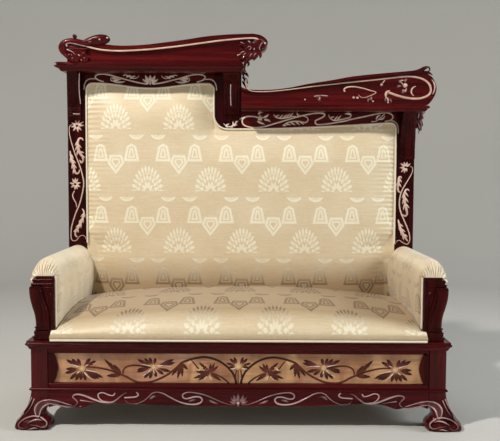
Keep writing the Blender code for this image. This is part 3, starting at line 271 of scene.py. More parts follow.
def noise(tree, vector, scale, detail=4.0, rough=0.55, bend=0.0):
    made = tree.nodes.new("ShaderNodeTexNoise")
    wire(tree, vector, made.inputs["Vector"])
    setSockets(made, {"Scale": scale, "Detail": detail, "Roughness": rough, "Distortion": bend})
    return made.outputs["Fac"]


def ramp(tree, value, stops):
    made = tree.nodes.new("ShaderNodeValToRGB")
    while len(made.color_ramp.elements) < len(stops):
        made.color_ramp.elements.new(0.5)
    for element, (place, colour) in zip(made.color_ramp.elements, stops):
        element.position = place
        element.color = (*colour, 1)
    wire(tree, value, made.inputs[0])
    return made.outputs[0]


def blendColour(tree, share, first, second, kind="MIX"):
    made = tree.nodes.new("ShaderNodeMix")
    made.data_type = "RGBA"
    made.blend_type = kind
    wire(tree, share, made.inputs[0])
    for value, socket in ((first, made.inputs[6]), (second, made.inputs[7])):
        wire(tree, (*value, 1) if isinstance(value, tuple) else value, socket)
    return made.outputs[2]


def shaded(tree, colour, by):
    return blendColour(tree, 1.0, colour, by, "MULTIPLY")


# The value's run from low to high, eased to the new run.
def spread(tree, value, low, high, newLow=0.0, newHigh=1.0):
    made = tree.nodes.new("ShaderNodeMapRange")
    made.interpolation_type = "SMOOTHSTEP"
    wire(tree, value, made.inputs["Value"])
    setSockets(made, {"From Min": low, "From Max": high, "To Min": newLow, "To Max": newHigh})
    return made.outputs[0]


def relief(tree, shader, height, depth, distance):
    made = tree.nodes.new("ShaderNodeBump")
    setSockets(made, {"Strength": depth, "Distance": distance})
    wire(tree, height, made.inputs["Height"])
    tree.links.new(made.outputs[0], shader.inputs["Normal"])


# Polished mahogany

polish = {"dark": (0.016, 0.0006, 0.0010), "body": (0.054, 0.0018, 0.0030), "light": (0.150, 0.0065, 0.0070),
          # The pale colour for carved ridges is partly wear and partly a painted highlight.
          "rubbedHighlight": (0.78, 0.54, 0.54), "coat": 0.10, "coatRough": 0.07, "rough": (0.20, 0.34), "pores": 0.35,
          "tint": (1.0, 0.34, 0.34, 1.0), "gleam": 0.34, "ior": 1.45,
          # The upright pieces' darker scale is painted shade.
          "uprightPaintedShade": 0.40, "uprightCoat": 0.03, "carvedShade": 0.85, "carvedCoat": 0.22}


# Mahogany with streaks, a broad ribbon figure and short pores along its grain. Carved pieces are
# painted pale on their ridges: partly rubbed wear, partly a painted highlight.
def mahogany(name, grain, carved=False, shade=1.0, coat=polish["coat"]):
    made, tree, shader = newMaterial(name)
    dark, body, light = (tuple(shade * c for c in polish[key]) for key in ("dark", "body", "light"))
    along = {"x": (1.6, 34, 34), "y": (34, 1.6, 34), "z": (34, 34, 1.6)}[grain]
    where = objectPoint(tree)
    streaks = noise(tree, stretched(tree, where, along), 1.0, 5.0, 0.62, 0.35)
    ribbon = noise(tree, stretched(tree, where, tuple(0.22 * s for s in along)), 1.0, 2.0, 0.5, 0.8)
    fine = noise(tree, stretched(tree, where, tuple(7 * s for s in along)), 1.0, 3.0, 0.6)
    tone = plus(tree, times(tree, streaks, 0.62), times(tree, ribbon, 0.38))
    colour = ramp(tree, tone, ((0.34, dark), (0.50, body), (0.70, light)))
    pores = spread(tree, fine, 0.60, 0.72)
    colour = blendColour(tree, times(tree, pores, 0.7), colour, dark)
    if carved:
        # pale ridges: rubbed wear and a painted highlight where the carving catches the light
        wearAndHighlight = times(tree, attribute(tree, "ridge", "Fac"), spread(tree, streaks, 0.25, 0.6, 0.55, 1.0))
        colour = blendColour(tree, wearAndHighlight, colour, polish["rubbedHighlight"])
    tree.links.new(colour, shader.inputs["Base Color"])
    wire(tree, spread(tree, streaks, 0.3, 0.7, *polish["rough"]), shader.inputs["Roughness"])
    setSockets(shader, {"Coat Weight": coat, "Coat Roughness": polish["coatRough"], "IOR": polish["ior"],
                        "Specular Tint": polish["tint"], "Specular IOR Level": polish["gleam"]})
    relief(tree, shader, minus(tree, times(tree, tone, 0.25), pores), polish["pores"], 0.0002)
    return made


# Upright pieces take a darker copy of the mahogany: painted shade.
wood = {"x": mahogany("mahogany_x", "x"), "y": mahogany("mahogany_y", "y"),
        "z": mahogany("mahogany_z_painted_shade", "z", shade=polish["uprightPaintedShade"], coat=polish["uprightCoat"])}
carved = {grain: mahogany(f"carved_mahogany_{grain}", grain, True, polish["carvedShade"], polish["carvedCoat"])
          for grain in "xz"}


# Stage and light

stage = {"wallFar": 5.6, "wallHigh": 4.6, "bend": 1.6, "colour": (0.62, 0.61, 0.585), "shade": 0.94,
         "rough": 0.72, "aim": (0.0, 0.0, 0.75), "sky": 0.055, "skyColour": (1.0, 0.985, 0.96, 1)}
lights = {"key": {"place": (-2.3, -2.3, 4.35), "size": 0.30, "power": 200, "colour": (1.0, 0.96, 0.89)},
          "fill": {"place": (5.0, -1.0, 2.7), "size": 2.0, "power": 152, "colour": (0.91, 0.98, 1.0)},
          "rim": {"place": (0.6, 2.0, 3.6), "size": 2.6, "power": 26, "colour": (1.0, 1.0, 1.0)}}


# A round floor that bends up into a backdrop: a profile of radius and height turned round the middle.
def addStage():
    s = stage
    turn = np.linspace(0, math.pi / 2, 24)
    bend = np.stack([s["wallFar"] - s["bend"] * (1 - np.sin(turn)), s["bend"] * (1 - np.cos(turn))], 1)
    profile = np.vstack([[0.01, 0.0], bend, [s["wallFar"], s["wallHigh"]]])[:, None]
    around = circle(96)[None, :]
    grid = joined(profile[..., 0] * np.cos(around), profile[..., 0] * np.sin(around), profile[..., 1])
    mesh = bpy.data.meshes.new("floor")
    faces = quads(*grid.shape[:2]).tolist() + [list(range(around.size))]
    mesh.from_pydata(grid.reshape(-1, 3).tolist(), [], faces)
    mesh.shade_smooth()
    made, tree, shader = newMaterial("studio_floor")
    cloud = noise(tree, objectPoint(tree), 0.7, 3.0)
    pale = tuple(s["shade"] * c for c in s["colour"])
    tree.links.new(blendColour(tree, cloud, pale, s["colour"]), shader.inputs["Base Color"])
    shader.inputs["Roughness"].default_value = s["rough"]
    mesh.materials.append(made)
    floor = bpy.data.objects.new("floor", mesh)
    bpy.context.scene.collection.objects.link(floor)


def addLight(name, place, size, power, colour):
    data = bpy.data.lights.new(name, "AREA")
    data.size = size
    data.energy = power
    data.color = colour
    lamp = bpy.data.objects.new(name, data)
    bpy.context.scene.collection.objects.link(lamp)
    lamp.location = place
    lamp.rotation_euler = (Vector(stage["aim"]) - lamp.location).to_track_quat("-Z", "Y").to_euler()


def addSky():
    world = bpy.data.worlds.new("studio")
    bpy.context.scene.world = world
    world.use_nodes = True
    setSockets(world.node_tree.nodes["Background"], {"Color": stage["skyColour"], "Strength": stage["sky"]})


addStage()
for name, values in lights.items():
    addLight(name, **values)
addSky()
bpy.context.scene.view_settings.view_transform = "Standard"
print("stage and light are set")


# Ivory damask: matt figures on a satin ground, in half-dropped rows

# The ground's low colour and the figures' dark colour are painted shade, used where the tone attribute falls; the
# figures turning from light to dark is a painted satin sheen.
damaskSizes = {"period": 0.287, "row": 0.281, "foot": 0.008, "squash": 0.62, "diamond": 0.135, "shield": 0.182,
               "arc": 0.251, "arcAside": 0.34, "ground": (0.85, 0.72, 0.52), "groundWarp": (0.79, 0.655, 0.455),
               "figure": (1.0, 0.95, 0.78), "low": (0.56, 0.48, 0.41), "figurePaintedShade": (0.21, 0.13, 0.065),
               "woven": 0.86,
               "rings": ((0.0620, 0.0115, 13, 0.0050, True), (0.0400, 0.0090, 9, 0.0052, False),
                         (0.0190, 0.0110, 5, 0.0056, True))}


# 1 where the distance lies within half of the centre.
def band(tree, distance, centre, half, soft=0.0016):
    away = maths(tree, "ABSOLUTE", minus(tree, distance, centre))
    return spread(tree, away, half - soft, half + soft, 1.0, 0.0)


def inside(tree, distance, soft=0.0016):
    return spread(tree, distance, -soft, soft, 1.0, 0.0)


def greatest(tree, *values):
    found = values[0]
    for value in values[1:]:
        found = maths(tree, "MAXIMUM", found, value)
    return found


# kx x + ky y - back.
def slope(tree, x, y, kx, ky, back):
    return minus(tree, plus(tree, times(tree, x, kx), times(tree, y, ky)), back)


# Mask of the woven figures from cloth coordinates in metres, from folded cells.
def figures(tree, cloth):
    size = damaskSizes
    aside, up = flatParts(tree, cloth)
    rows = maths(tree, "DIVIDE", up, size["row"])
    row = maths(tree, "FLOOR", rows)
    v = times(tree, minus(tree, rows, row), size["row"])
    shift = times(tree, maths(tree, "FLOORED_MODULO", row, 2.0), 0.5)
    turns = maths(tree, "FRACT", plus(tree, maths(tree, "DIVIDE", aside, size["period"]), shift))
    u = times(tree, maths(tree, "ABSOLUTE", minus(tree, turns, 0.5)), size["period"])
    half = size["period"] / 2
    # shield: a trapezoid with a band round it and a bud inside
    sx = maths(tree, "ABSOLUTE", minus(tree, u, half / 2))
    sy = minus(tree, v, size["shield"])
    shield = greatest(tree, slope(tree, sx, sy, 0.96, 0.20, 0.0270), slope(tree, sx, sy, 0, -1, 0.038),
                      slope(tree, sx, sy, 0.50, 0.87, 0.0375))
    # diamond: hat-shaped above, pointed below
    dx = minus(tree, half, u)
    dy = minus(tree, v, size["diamond"])
    diamond = greatest(tree, slope(tree, dx, dy, 0.80, -0.60, 0.0300), slope(tree, dx, dy, 0.96, 0.28, 0.0375),
                       slope(tree, dx, dy, 0, 1, 0.038))
    outline = maths(tree, "MINIMUM", shield, diamond)
    rims = greatest(tree, band(tree, outline, -0.0055, 0.0054), band(tree, outline, -0.0195, 0.0038))
    # crescent over each shield
    ax = minus(tree, u, half * size["arcAside"])
    ay = minus(tree, v, size["arc"] + 0.030)
    ring = hypotenuse(tree, ax, ay)
    low = plus(tree, ay, 0.017)
    arc = times(tree, greatest(tree, band(tree, ring, 0.0330, 0.0052), band(tree, ring, 0.0230, 0.0022)),
                inside(tree, low))
    # fan: rings of leaves that radiate from its foot inside an ellipse, and a thin line between them
    fy = times(tree, minus(tree, v, size["foot"]), size["squash"])
    reach = hypotenuse(tree, u, fy)
    angle = maths(tree, "ARCTAN2", u, fy)
    masks = [band(tree, reach, 0.0505, 0.0013)]
    for middle, length, count, wide, between in size["rings"]:
        turn = maths(tree, "PINGPONG", angle, math.pi / (2 * count))
        if between:
            turn = minus(tree, math.pi / (2 * count), turn)
        lengthwise = maths(tree, "DIVIDE", minus(tree, reach, middle), length)
        taper = minus(tree, 1.0, times(tree, lengthwise, lengthwise))
        leaf = minus(tree, times(tree, turn, reach), times(tree, taper, wide))
        masks.append(inside(tree, leaf, 0.0012))
    fan = times(tree, greatest(tree, *masks), spread(tree, fy, 0.0, 0.002))
    return greatest(tree, rims, arc, fan)


# Damask: slubs and fine ribs in a ground under matt woven figures, both painted darker where the
# tone is low (painted shade), and painted lighter where the pale factor is over one (painted light).
def damask(name, pale=(1.0, 1.0, 1.0), figure=damaskSizes["figure"]):
    made, tree, shader = newMaterial(name)
    size = damaskSizes
    cloth = attribute(tree, "cloth")
    tone = attribute(tree, "tone", "Fac")
    mask = figures(tree, cloth)
    slubs = noise(tree, stretched(tree, cloth, (12, 240, 1)), 1.0, 3.0, 0.6)
    ribs = noise(tree, stretched(tree, cloth, (60, 900, 1)), 1.0, 2.0, 0.5)
    faded = noise(tree, stretched(tree, cloth, (3, 4, 1)), 1.0, 3.0, 0.55)
    ground = blendColour(tree, spread(tree, slubs, 0.36, 0.66), size["groundWarp"], size["ground"])
    # painted light and shade: the tone blends the ground from its shade colour to the pale factor
    paintedLightAndShade = blendColour(tree, tone, size["low"], pale)
    ground = shaded(tree, ground, paintedLightAndShade)
    woven = blendColour(tree, tone, size["figurePaintedShade"], figure)
    colour = blendColour(tree, times(tree, mask, size["woven"]), ground, woven)
    wearAndHighlight = ramp(tree, faded, ((0.35, (0.93, 0.90, 0.85)), (0.65, (1.0, 1.0, 1.0))))
    colour = shaded(tree, colour, wearAndHighlight)
    shade = ramp(tree, ribs, ((0.35, (0.90, 0.89, 0.87)), (0.60, (1.0, 1.0, 1.0))))
    colour = shaded(tree, colour, shade)
    tree.links.new(colour, shader.inputs["Base Color"])
    wire(tree, spread(tree, mask, 0, 1, 0.46, 0.72), shader.inputs["Roughness"])
    setSockets(shader, {"Sheen Weight": 0.25, "Sheen Roughness": 0.4})
    threads = plus(tree, times(tree, ribs, 0.5), times(tree, slubs, 0.5))
    relief(tree, shader, plus(tree, times(tree, mask, 0.9), threads), 0.55, 0.0006)
    return made


# The seat and back cloth takes painted shade from the tone on their meshes; the arms' copy below is paler all over, as
# painted light.
damaskCloth = damask("ivory_damask")
armDamaskPaintedLight = damask("arm_damask_painted_light", (1.12, 1.19, 1.31), (0.80, 0.71, 0.57))


piping = {"radius": 0.0042, "sides": 14, "twist": 0.0072}


# Cord with a fine twist: stripes that climb round it, brown in the grooves between strands as painted
# shade.
def pipingMaterial():
    made, tree, shader = newMaterial("ivory_cord")
    around, gone = flatParts(tree, attribute(tree, "cloth"))
    turn = plus(tree, around, maths(tree, "DIVIDE", gone, piping["twist"]))
    strands = maths(tree, "ABSOLUTE", maths(tree, "SINE", times(tree, turn, math.pi)))
    colour = ramp(tree, strands, ((0.0, (0.52, 0.40, 0.26)), (0.45, (0.86, 0.76, 0.60)),
                                  (1.0, (0.93, 0.86, 0.74))))
    tree.links.new(colour, shader.inputs["Base Color"])
    setSockets(shader, {"Roughness": 0.62, "Sheen Weight": 0.3})
    relief(tree, shader, strands, 0.5, 0.0008)
    return made


cordCloth = pipingMaterial()
print("materials are made")


# Outlines that the upholstery shares with the frame

# Each arm's tone is painted shade on its cloth, deeper on the right arm than on the left.
arm = {"footIn": 0.7205, "bulgeFront": 0.706, "bulgeRear": 0.682, "swell": 0.530, "rollTop": 0.661,
       "rollOut": 0.826, "wallOut": 0.795, "under": 0.141, "postTop": 0.5935, "postIn": 0.7225,
       "postFront": -0.292, "postDeep": 0.058, "lapOut": 0.010, "lapDown": 0.026, "hang": 0.090,
       "pleat": 0.0150, "pleatReach": 0.80, "pleatAt": (0.765, 0.600), "full": -0.185, "nose": -0.2895,
       "lining": -0.2795, "seamOut": 0.803, "cordFoot": 0.392, "clothTop": 0.52, "tone": {-1: 0.95, 1: 0.45}}


# Inner face of an arm, from the centre: out from its foot as a sine to its fullest place, then back over
# the roll as a superellipse. It is fuller towards the back.
def armInner(z, y):
    z, y = np.broadcast_arrays(np.asarray(z, float), np.asarray(y, float))
    share = np.clip((y - baseFront) / (backFront - baseFront), 0, 1)
    bulge = arm["bulgeFront"] + (arm["bulgeRear"] - arm["bulgeFront"]) * share
    up = np.clip((z - railTop) / (arm["swell"] - railTop), 0, 1)
    lift = np.clip((z - arm["swell"]) / (arm["rollTop"] - arm["swell"]), 0, 1)
    crest = (arm["rollOut"] + bulge) / 2
    low = arm["footIn"] + (bulge - arm["footIn"]) * np.sin(up * math.pi / 2)
    high = crest - (crest - bulge) * np.sqrt(1 - lift ** 2.4)
    return np.where(z < arm["swell"], low, high)


# Seat cushion

seat = {"front": -0.322, "rear": 0.2385, "ear": 0.735, "lip": 0.027, "roll": 0.120, "shoulder": 0.72,
        "crown": 0.480, "sideFront": 0.385, "sideRear": 0.435, "clear": 0.0012, "lap": -0.3017,
        "flap": 0.4197, "tuck": 0.007, "tuckFrom": 0.25, "sideHump": 0.024, "edge": 0.004,
        "bow": 0.0012, "stretch": 1.55}


# Top of the seat: a quarter-round roll at the front, then a slow swell to the crown, and across it a fall
# to the sides as the 2.6th power of the share.
def seatHeight(share, y):
    along = (y - seat["front"]) / (seat["rear"] - seat["front"])
    roll = np.clip((y - seat["front"]) / seat["roll"], 0, 1)
    rise = np.sqrt(1 - (1 - roll) ** 2)
    lip = railTop + seat["lip"]
    swell = np.sin(np.minimum(1, 1.3 * along) * math.pi / 2)
    middle = lip + (seat["crown"] - lip) * (seat["shoulder"] * rise + (1 - seat["shoulder"]) * swell)
    side = lip + (seat["sideFront"] - lip) * rise + (seat["sideRear"] - seat["sideFront"]) * along
    side = side + seat["sideHump"] * np.sin(math.pi * np.clip(along, 0, 1))
    return side + (middle - side) * (1 - np.abs(share) ** 2.6)


# Rings across the seat from front to back. A ring goes up the right flank, over the top from share 1 to
# -1, down the left flank and back underneath. The border is the first ring drawn in to a line and bowed.
def seatCushion():
    low, rear, rim, columns = railTop + gap, seat["rear"], seat["edge"], 160
    roll = seat["front"] + seat["roll"] * (1 - np.cos(np.linspace(0, math.pi / 2, 44)))
    y = np.concatenate([roll, np.linspace(roll[-1], rear, 70)[1:], [rear + 0.002, backFront - 0.0006],
                        [seat["lap"] - 0.0004, seat["lap"] + 0.0004]])
    y = np.sort(y)[:, None]
    even = np.linspace(1, -1, columns)[None, :]
    share = 0.5 * (np.sin(even * math.pi / 2) + even)
    behind, ahead = y > rear + 0.001, y < seat["lap"]
    flap = seat["flap"] - np.where(y > seat["tuckFrom"], seat["tuck"], 0)
    height = seatHeight(share, np.minimum(y, rear))
    height = np.where(behind, np.minimum(height, flap), height)
    edge = seatHeight(1.0, np.minimum(y, rear)) - rim
    edge = np.where(behind, np.minimum(edge, seat["flap"] - 0.012), edge)
    reach = np.where(ahead, seat["ear"], armInner(edge, y) - seat["clear"])
    flank = np.linspace(0, 1, 10)[None, :]
    flankZ = low + (edge - low) * flank
    flankX = np.where(ahead, seat["ear"] - rim * (2 * flank - 1) ** 2, armInner(flankZ, y) - seat["clear"])
    topX = (reach - rim) * share
    ripple = 0.0011 * np.sin(9 * topX + 3) * np.sin(14 * y + 1) + 0.0007 * np.sin(31 * topX) * np.sin(23 * y)
    height = height + ripple * np.clip((height - edge) / 0.03, 0, 1)
    right = joined(flankX, y, flankZ)
    bottom = joined(-share * (flankX[:, :1] - rim), y, low)
    grid = np.concatenate([right, joined(topX, y, height), right[:, ::-1] * (-1, 1, 1), bottom], 1)
    middle = railTop + 0.6 * seat["lip"]
    draw = np.array([0.02, 0.35, 0.75])[:, None]
    border = np.stack([grid[0]] * 3)
    border[..., 2] = middle + (border[..., 2] - middle) * draw
    border[..., 1] = seat["front"] - seat["bow"] + seat["bow"] * draw ** 2
    grid = np.concatenate([border, grid])
    under = np.clip(1 - (grid[..., 2] - low) / 0.030, 0, 1) ** 2
    grid[..., 1] += 0.005 * under * (grid[..., 1] < seat["front"] + 0.02)
    gone = walked(grid[:, 10 + columns // 2, 1:])[:, None]
    cloth = joined(grid[..., 0], gone / seat["stretch"], 0.0)
    # painted light and shade in the tone: light on the front roll, shaded behind it, and darker again low on the
    # border
    tone = np.clip(1.05 - (grid[..., 1] - seat["front"]) / 0.09, 0, 1)
    tone = tone * (1 - 0.45 * np.clip((railTop + 0.034 - grid[..., 2]) / 0.012, 0, 1))
    return shell(grid, cloth=cloth, tone=tone)


made = makePiece("seat_cover", [seatCushion()], damaskCloth, ["seat_cushion"], crease=60)
print("seat is covered")


# Wood that keeps its CAD shape: edges rounded, and smooth where it curves

merging = {"within": 0.00001, "sharpFrom": 32}


# Geometry nodes that merge a node's loose triangles and shade them smooth under an angle.
def smoothing():
    tree = bpy.data.node_groups.new("merge_and_smooth", "GeometryNodeTree")
    tree.interface.new_socket("Geometry", in_out="INPUT", socket_type="NodeSocketGeometry")
    tree.interface.new_socket("Geometry", in_out="OUTPUT", socket_type="NodeSocketGeometry")
    nodes, links = tree.nodes, tree.links
    source, result = nodes.new("NodeGroupInput"), nodes.new("NodeGroupOutput")
    merge = nodes.new("GeometryNodeMergeByDistance")
    merge.inputs["Distance"].default_value = merging["within"]
    plain = nodes.new("GeometryNodeRemoveAttribute")
    plain.inputs["Name"].default_value = "custom_normal"
    smooth = nodes.new("GeometryNodeSetShadeSmooth")
    sharp = nodes.new("GeometryNodeSetShadeSmooth")
    sharp.domain = "EDGE"
    sharp.inputs["Shade Smooth"].default_value = False
    angle = nodes.new("GeometryNodeInputMeshEdgeAngle")
    wide = nodes.new("FunctionNodeCompare")
    wide.inputs["B"].default_value = math.radians(merging["sharpFrom"])
    links.new(angle.outputs["Unsigned Angle"], wide.inputs["A"])
    links.new(wide.outputs[0], sharp.inputs["Selection"])
    chain = [source, merge, plain, smooth, sharp, result]
    for one, following in zip(chain, chain[1:]):
        links.new(one.outputs[0], following.inputs[0])
    return tree


smoothGroup = smoothing()


# Material and rounded edges for a wooden CAD node.
def finishNode(name, material, width, segments, angle):
    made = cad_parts[name]
    for place in made.material_slots:
        place.material = material
    merge = made.modifiers.new("merge_and_smooth", "NODES")
    merge.node_group = smoothGroup
    if width:
        edges = made.modifiers.new("edges", "BEVEL")
        edges.width = width
        edges.segments = segments
        edges.limit_method = "ANGLE"
        edges.angle_limit = math.radians(angle)
        edges.harden_normals = True
        edges.use_clamp_overlap = True


# Frame pieces by the way their grain runs; caps are rounded more and mouldings get finer edges.
grains = {
    "z": ("rear_post_left", "rear_post_right", "step_stile", "corbel_middle", "arm_post_left", "arm_post_right",
          "panel_end_left", "panel_end_right"),
    "x": ("front_bottom_rail", "front_top_rail", "front_apron", "rear_rail", "left_top_rail", "right_top_rail",
          "back_sill", "left_crest_board", "left_crest_back", "left_crest_cap", "right_crest_board",
          "right_crest_back", "right_crest_cap"),
    "y": ("side_rail_left", "side_rail_right", "side_apron_left", "side_apron_right", "left_crest_end_inner",
          "left_crest_end_outer", "right_crest_end"),
}
mouldings = {"x": ("cornice_front", "bead_front", "left_crest_cornice", "right_crest_cornice"),
             "y": ("cornice_left", "cornice_right", "bead_left", "bead_right")}
roundings = {"plain": (0.0012, 2, 32), "cap": (0.0045, 4, 32), "moulding": (0.0011, 3, 12)}
for grain, names in grains.items():
    for name in names:
        finishNode(name, wood[grain], *roundings["cap" if name.endswith("cap") else "plain"])
for grain, names in mouldings.items():
    for name in names:
        finishNode(name, wood[grain], *roundings["moulding"])
print("the frame's wood is finished")


# Arms

# Rings along the arm from its front seam to the back. Each ring runs from the roll's outermost place over
# the top and down the inner face, then back along what carries it: the arm post at the front, the arm's
# own wall behind it. Towards the seam the ring draws in as a quarter round.
def armCover(side):
    a = arm
    over, inward, face, hidden = 34, 56, 44, 46
    full, nose, lining = a["full"], a["nose"], a["lining"]
    steps = np.concatenate([np.linspace(0, 1, 46), 1 + np.linspace(0, 1, 40)[1:]])
    draw = np.sin(np.clip(steps, 0, 1) * math.pi / 2)[:, None] ** 0.85
    ease = 1 - np.cos(np.clip(steps, 0, 1) * math.pi / 2)[:, None]
    far = np.clip(steps - 1, 0, 1)[:, None]
    # the full section at each ring's mean place
    turn = np.linspace(0, math.pi / 2, over)[None, :]
    down = np.linspace(0, math.pi / 2, inward + 1)[None, 1:]
    up = np.linspace(1, 0, face + 1)[None, 1:]
    columns = over + inward + face
    number = np.arange(columns)[None, :]
    corner = over + int(inward * 0.62)
    soft = np.clip((number - corner + 6) / 12, 0, 1)
    seamY = nose + (lining - nose) * soft * soft * (3 - 2 * soft)
    y = seamY + (full - seamY) * ease + (backFront - 0.0004 - full) * far
    share = np.clip((y - baseFront) / (backFront - baseFront), 0, 1)
    bulge = a["bulgeFront"] + (a["bulgeRear"] - a["bulgeFront"]) * share
    crest = (a["rollOut"] + bulge) / 2
    x, z = np.zeros_like(y), np.zeros_like(y)
    part = slice(0, over)
    x[:, part] = crest[:, part] + (a["rollOut"] - crest[:, part]) * np.cos(turn)
    z[:, part] = a["rollTop"] - a["hang"] * (1 - np.sin(turn))
    part = slice(over, over + inward)
    x[:, part] = crest[:, part] - (crest[:, part] - bulge[:, part]) * np.sin(down)
    z[:, part] = a["swell"] + (a["rollTop"] - a["swell"]) * np.cos(down) ** (2 / 2.4)
    part = slice(over + inward, columns)
    low = railTop + gap
    z[:, part] = low + (a["swell"] - low) * up
    x[:, part] = armInner(z[:, part], y[:, part])
    # the seam: along the post's top, then down the piping
    top = a["postTop"] + gap
    along = np.clip(number / corner, 0, 1)
    seamX = a["seamOut"] + (a["postIn"] - 0.002 - a["seamOut"]) * along
    seamZ = np.where(number <= corner, top + 0.0015, np.minimum(z[-1:], top))
    # outside, the cloth laps down beside the post's top
    lap = np.clip(1 - number / 9, 0, 1)
    seamX = seamX + a["lapOut"] * lap
    seamZ = seamZ - a["lapDown"] * lap ** 1.5
    x = seamX + (x - seamX) * draw
    z = seamZ + (z - seamZ) * draw
    # pleats that fan out from the post's top, and a tuck at its inner corner
    early = np.clip(1 - steps / a["pleatReach"], 0, 1)[:, None] ** 0.9 * np.clip(steps / 0.06, 0, 1)[:, None]
    pleat = (1 - np.abs(np.sin(along * math.pi * 11 + 0.35 * np.sin(along * 19)))) ** 1.5
    onRoll = np.clip((corner - number) / 4, 0, 1)
    outX, outZ = x - a["pleatAt"][0], z - a["pleatAt"][1]
    size = np.hypot(outX, outZ) + 1e-6
    sinkIn = a["pleat"] * early * pleat * onRoll
    x -= outX / size * sinkIn
    z -= outZ / size * sinkIn
    tuck = np.exp(-(((number - corner) / 3.0) ** 2)) * np.clip(1 - steps / 0.75, 0, 1)[:, None]
    x += 0.0070 * tuck
    gather = 0.0019 * np.sin(number * 0.9) * np.clip(1 - steps, 0, 1)[:, None] ** 2
    folds = 0.0022 * np.sin(2 * math.pi * y / 0.105 + 4 * z) * np.clip(steps - 0.5, 0, 1)[:, None]
    x -= folds * (number > corner) * np.clip((z - low) / 0.05, 0, 1)
    x -= gather * np.clip((number - corner) / 8, 0, 1)
    ripple = 0.0009 * np.sin(17 * y + 5) * np.sin(26 * z) + 0.0006 * np.sin(41 * y) * np.sin(37 * z + 2)
    x -= ripple * (number > over) * np.clip(steps, 0, 1)[:, None]
    cover = np.stack([x, y, z], -1)
    # what lies against the wood
    meanY = y[:, -1:]
    s = np.linspace(0, 1, hidden // 2)[None, :]
    ahead = meanY < a["postFront"] + a["postDeep"] + 2 * gap
    lastX, firstX, firstZ = x[:, -1:], x[:, :1], z[:, :1]
    onPostX = np.full_like(s, a["postIn"] - gap) + 0 * meanY
    onPostZ = low + (top - low) * s + 0 * meanY
    overPostX = a["postIn"] + (firstX - 0.001 - a["postIn"]) * s
    overPostZ = np.full_like(overPostX, top)
    wallX = lastX + (a["wallOut"] - lastX) * s
    wallZ = np.full_like(wallX, low)
    bend = np.clip((s - 0.45) / 0.55, 0, 1)
    upX = a["wallOut"] + (firstX - a["wallOut"]) * (1 - np.cos(bend * math.pi / 2))
    rise = a["rollTop"] - a["under"]
    upZ = low + (rise - low) * np.clip(s / 0.45, 0, 1) + (firstZ - 0.001 - rise) * np.sin(bend * math.pi / 2)
    backX = np.concatenate([np.where(ahead, onPostX, wallX), np.where(ahead, overPostX, upX)], 1)
    backZ = np.concatenate([np.where(ahead, onPostZ, wallZ), np.where(ahead, overPostZ, upZ)], 1)
    backY = np.broadcast_to(meanY, backX.shape)
    grid = np.concatenate([cover, np.stack([backX, backY, backZ], -1)], 1)
    cloth = joined(grid[..., 1] + 0.03, a["clothTop"] - walked(grid[-1][:, ::2]), 0.0)
    grid = grid * (side, 1, 1)
    # painted light and shade in the tone: a level for each arm, lighter over the roll's top, darker in the pleats'
    # hollows and on the inner face near the front seam
    tone = np.full(grid.shape[:2], a["tone"][side])
    tone[:, :columns] += (1 - a["tone"][side]) * np.clip((corner - number) / 10, 0, 1) - 1.3 * early * pleat * onRoll
    tone[:, corner + 2:columns] -= 0.8 * np.clip(1 - steps / 0.7, 0, 1)[:, None]
    return shell(grid, cloth=cloth, tone=np.clip(tone, 0, 1))


for side, word in hands:
    made = makePiece(f"arm_cover_{word}", [armCover(side)], armDamaskPaintedLight, [f"arm_pad_{word}"], crease=70)
print("arms are covered")


# Back

opening = {"corner": 0.030, "stepRound": 0.062, "stepWide": 0.123, "leftDeep": 0.042, "leftDip": 0.022,
           "rightDeep": 0.077, "rightRise": 0.034, "inner": stileOut - stileWide, "sill": 0.425}
pad = {"crown": 0.048, "roll": 0.170, "beside": 0.667, "overArm": 0.665, "fade": 0.060, "thick": 0.030,
       "rowStart": 0.952, "clothShift": 0.048, "clothAside": 0.0045, "pucker": 0.0030}


# Lower edge of the scalloped left rail: a squared sine that hangs deepest in the middle.
def leftUnderLine(x):
    left, right = -opening["inner"], -opening["stepWide"]
    share = np.clip(((x - left) / (right - left) - 0.08) / 0.84, 0, 1)
    return leftUnder - opening["leftDeep"] - opening["leftDip"] * np.sin(math.pi * share) ** 2


# Lower edge of the right rail, which rises towards the stile as the 1.5th power.
def rightUnderLine(x):
    share = np.clip(x / opening["inner"], 0, 1)
    return rightUnder - opening["rightDeep"] + opening["rightRise"] * share ** 1.5


# Fall of a round corner at a distance from its upright side.
def cornerDrop(fromSide, radius):
    aside = np.clip(radius - fromSide, 0, None)
    return radius - np.sqrt(np.clip(radius ** 2 - aside ** 2, 0, None))


# The opening's upper outline in three runs: under the left rail, the step's round corner, under the right
# rail. Rounded corners are dense in points.
def topEdges(inset):
    left, step, right = -opening["inner"] + inset, -opening["stepWide"] - inset, opening["inner"] - inset
    radius = opening["corner"] - inset
    turn = 1 - np.cos(np.linspace(0, math.pi / 2, 12))
    a = np.concatenate([left + radius * turn, np.linspace(left + radius, step - radius, 92)[1:-1],
                        (step - radius * turn)[::-1]])
    a = np.stack([a, leftUnderLine(a) - inset - cornerDrop(np.minimum(a - left, step - a), radius)], 1)
    bend = opening["stepRound"] + inset
    foot = rightUnderLine(np.float64(0)) - inset
    t = np.linspace(0, math.pi / 2, 16)
    b = np.stack([step + bend * (1 - np.cos(t)), foot + bend * (1 - np.sin(t))], 1)
    c = np.concatenate([np.linspace(step + bend, right - radius, 116)[1:], (right - radius * turn)[::-1][1:]])
    c = np.stack([c, rightUnderLine(c) - inset - cornerDrop(right - c, radius)], 1)
    return a, b, c


# The opening's upper outline as one line, from foot to foot.
def openingLine(inset, foot):
    a, b, c = topEdges(inset)
    edge = np.vstack([a[:-1], b, c[1:]])
    return np.vstack([[[edge[0, 0], foot]], edge, [[edge[-1, 0], foot]]])


def padRise(space):
    return np.sin(np.clip(space / pad["roll"], 0, 1) * math.pi / 2)


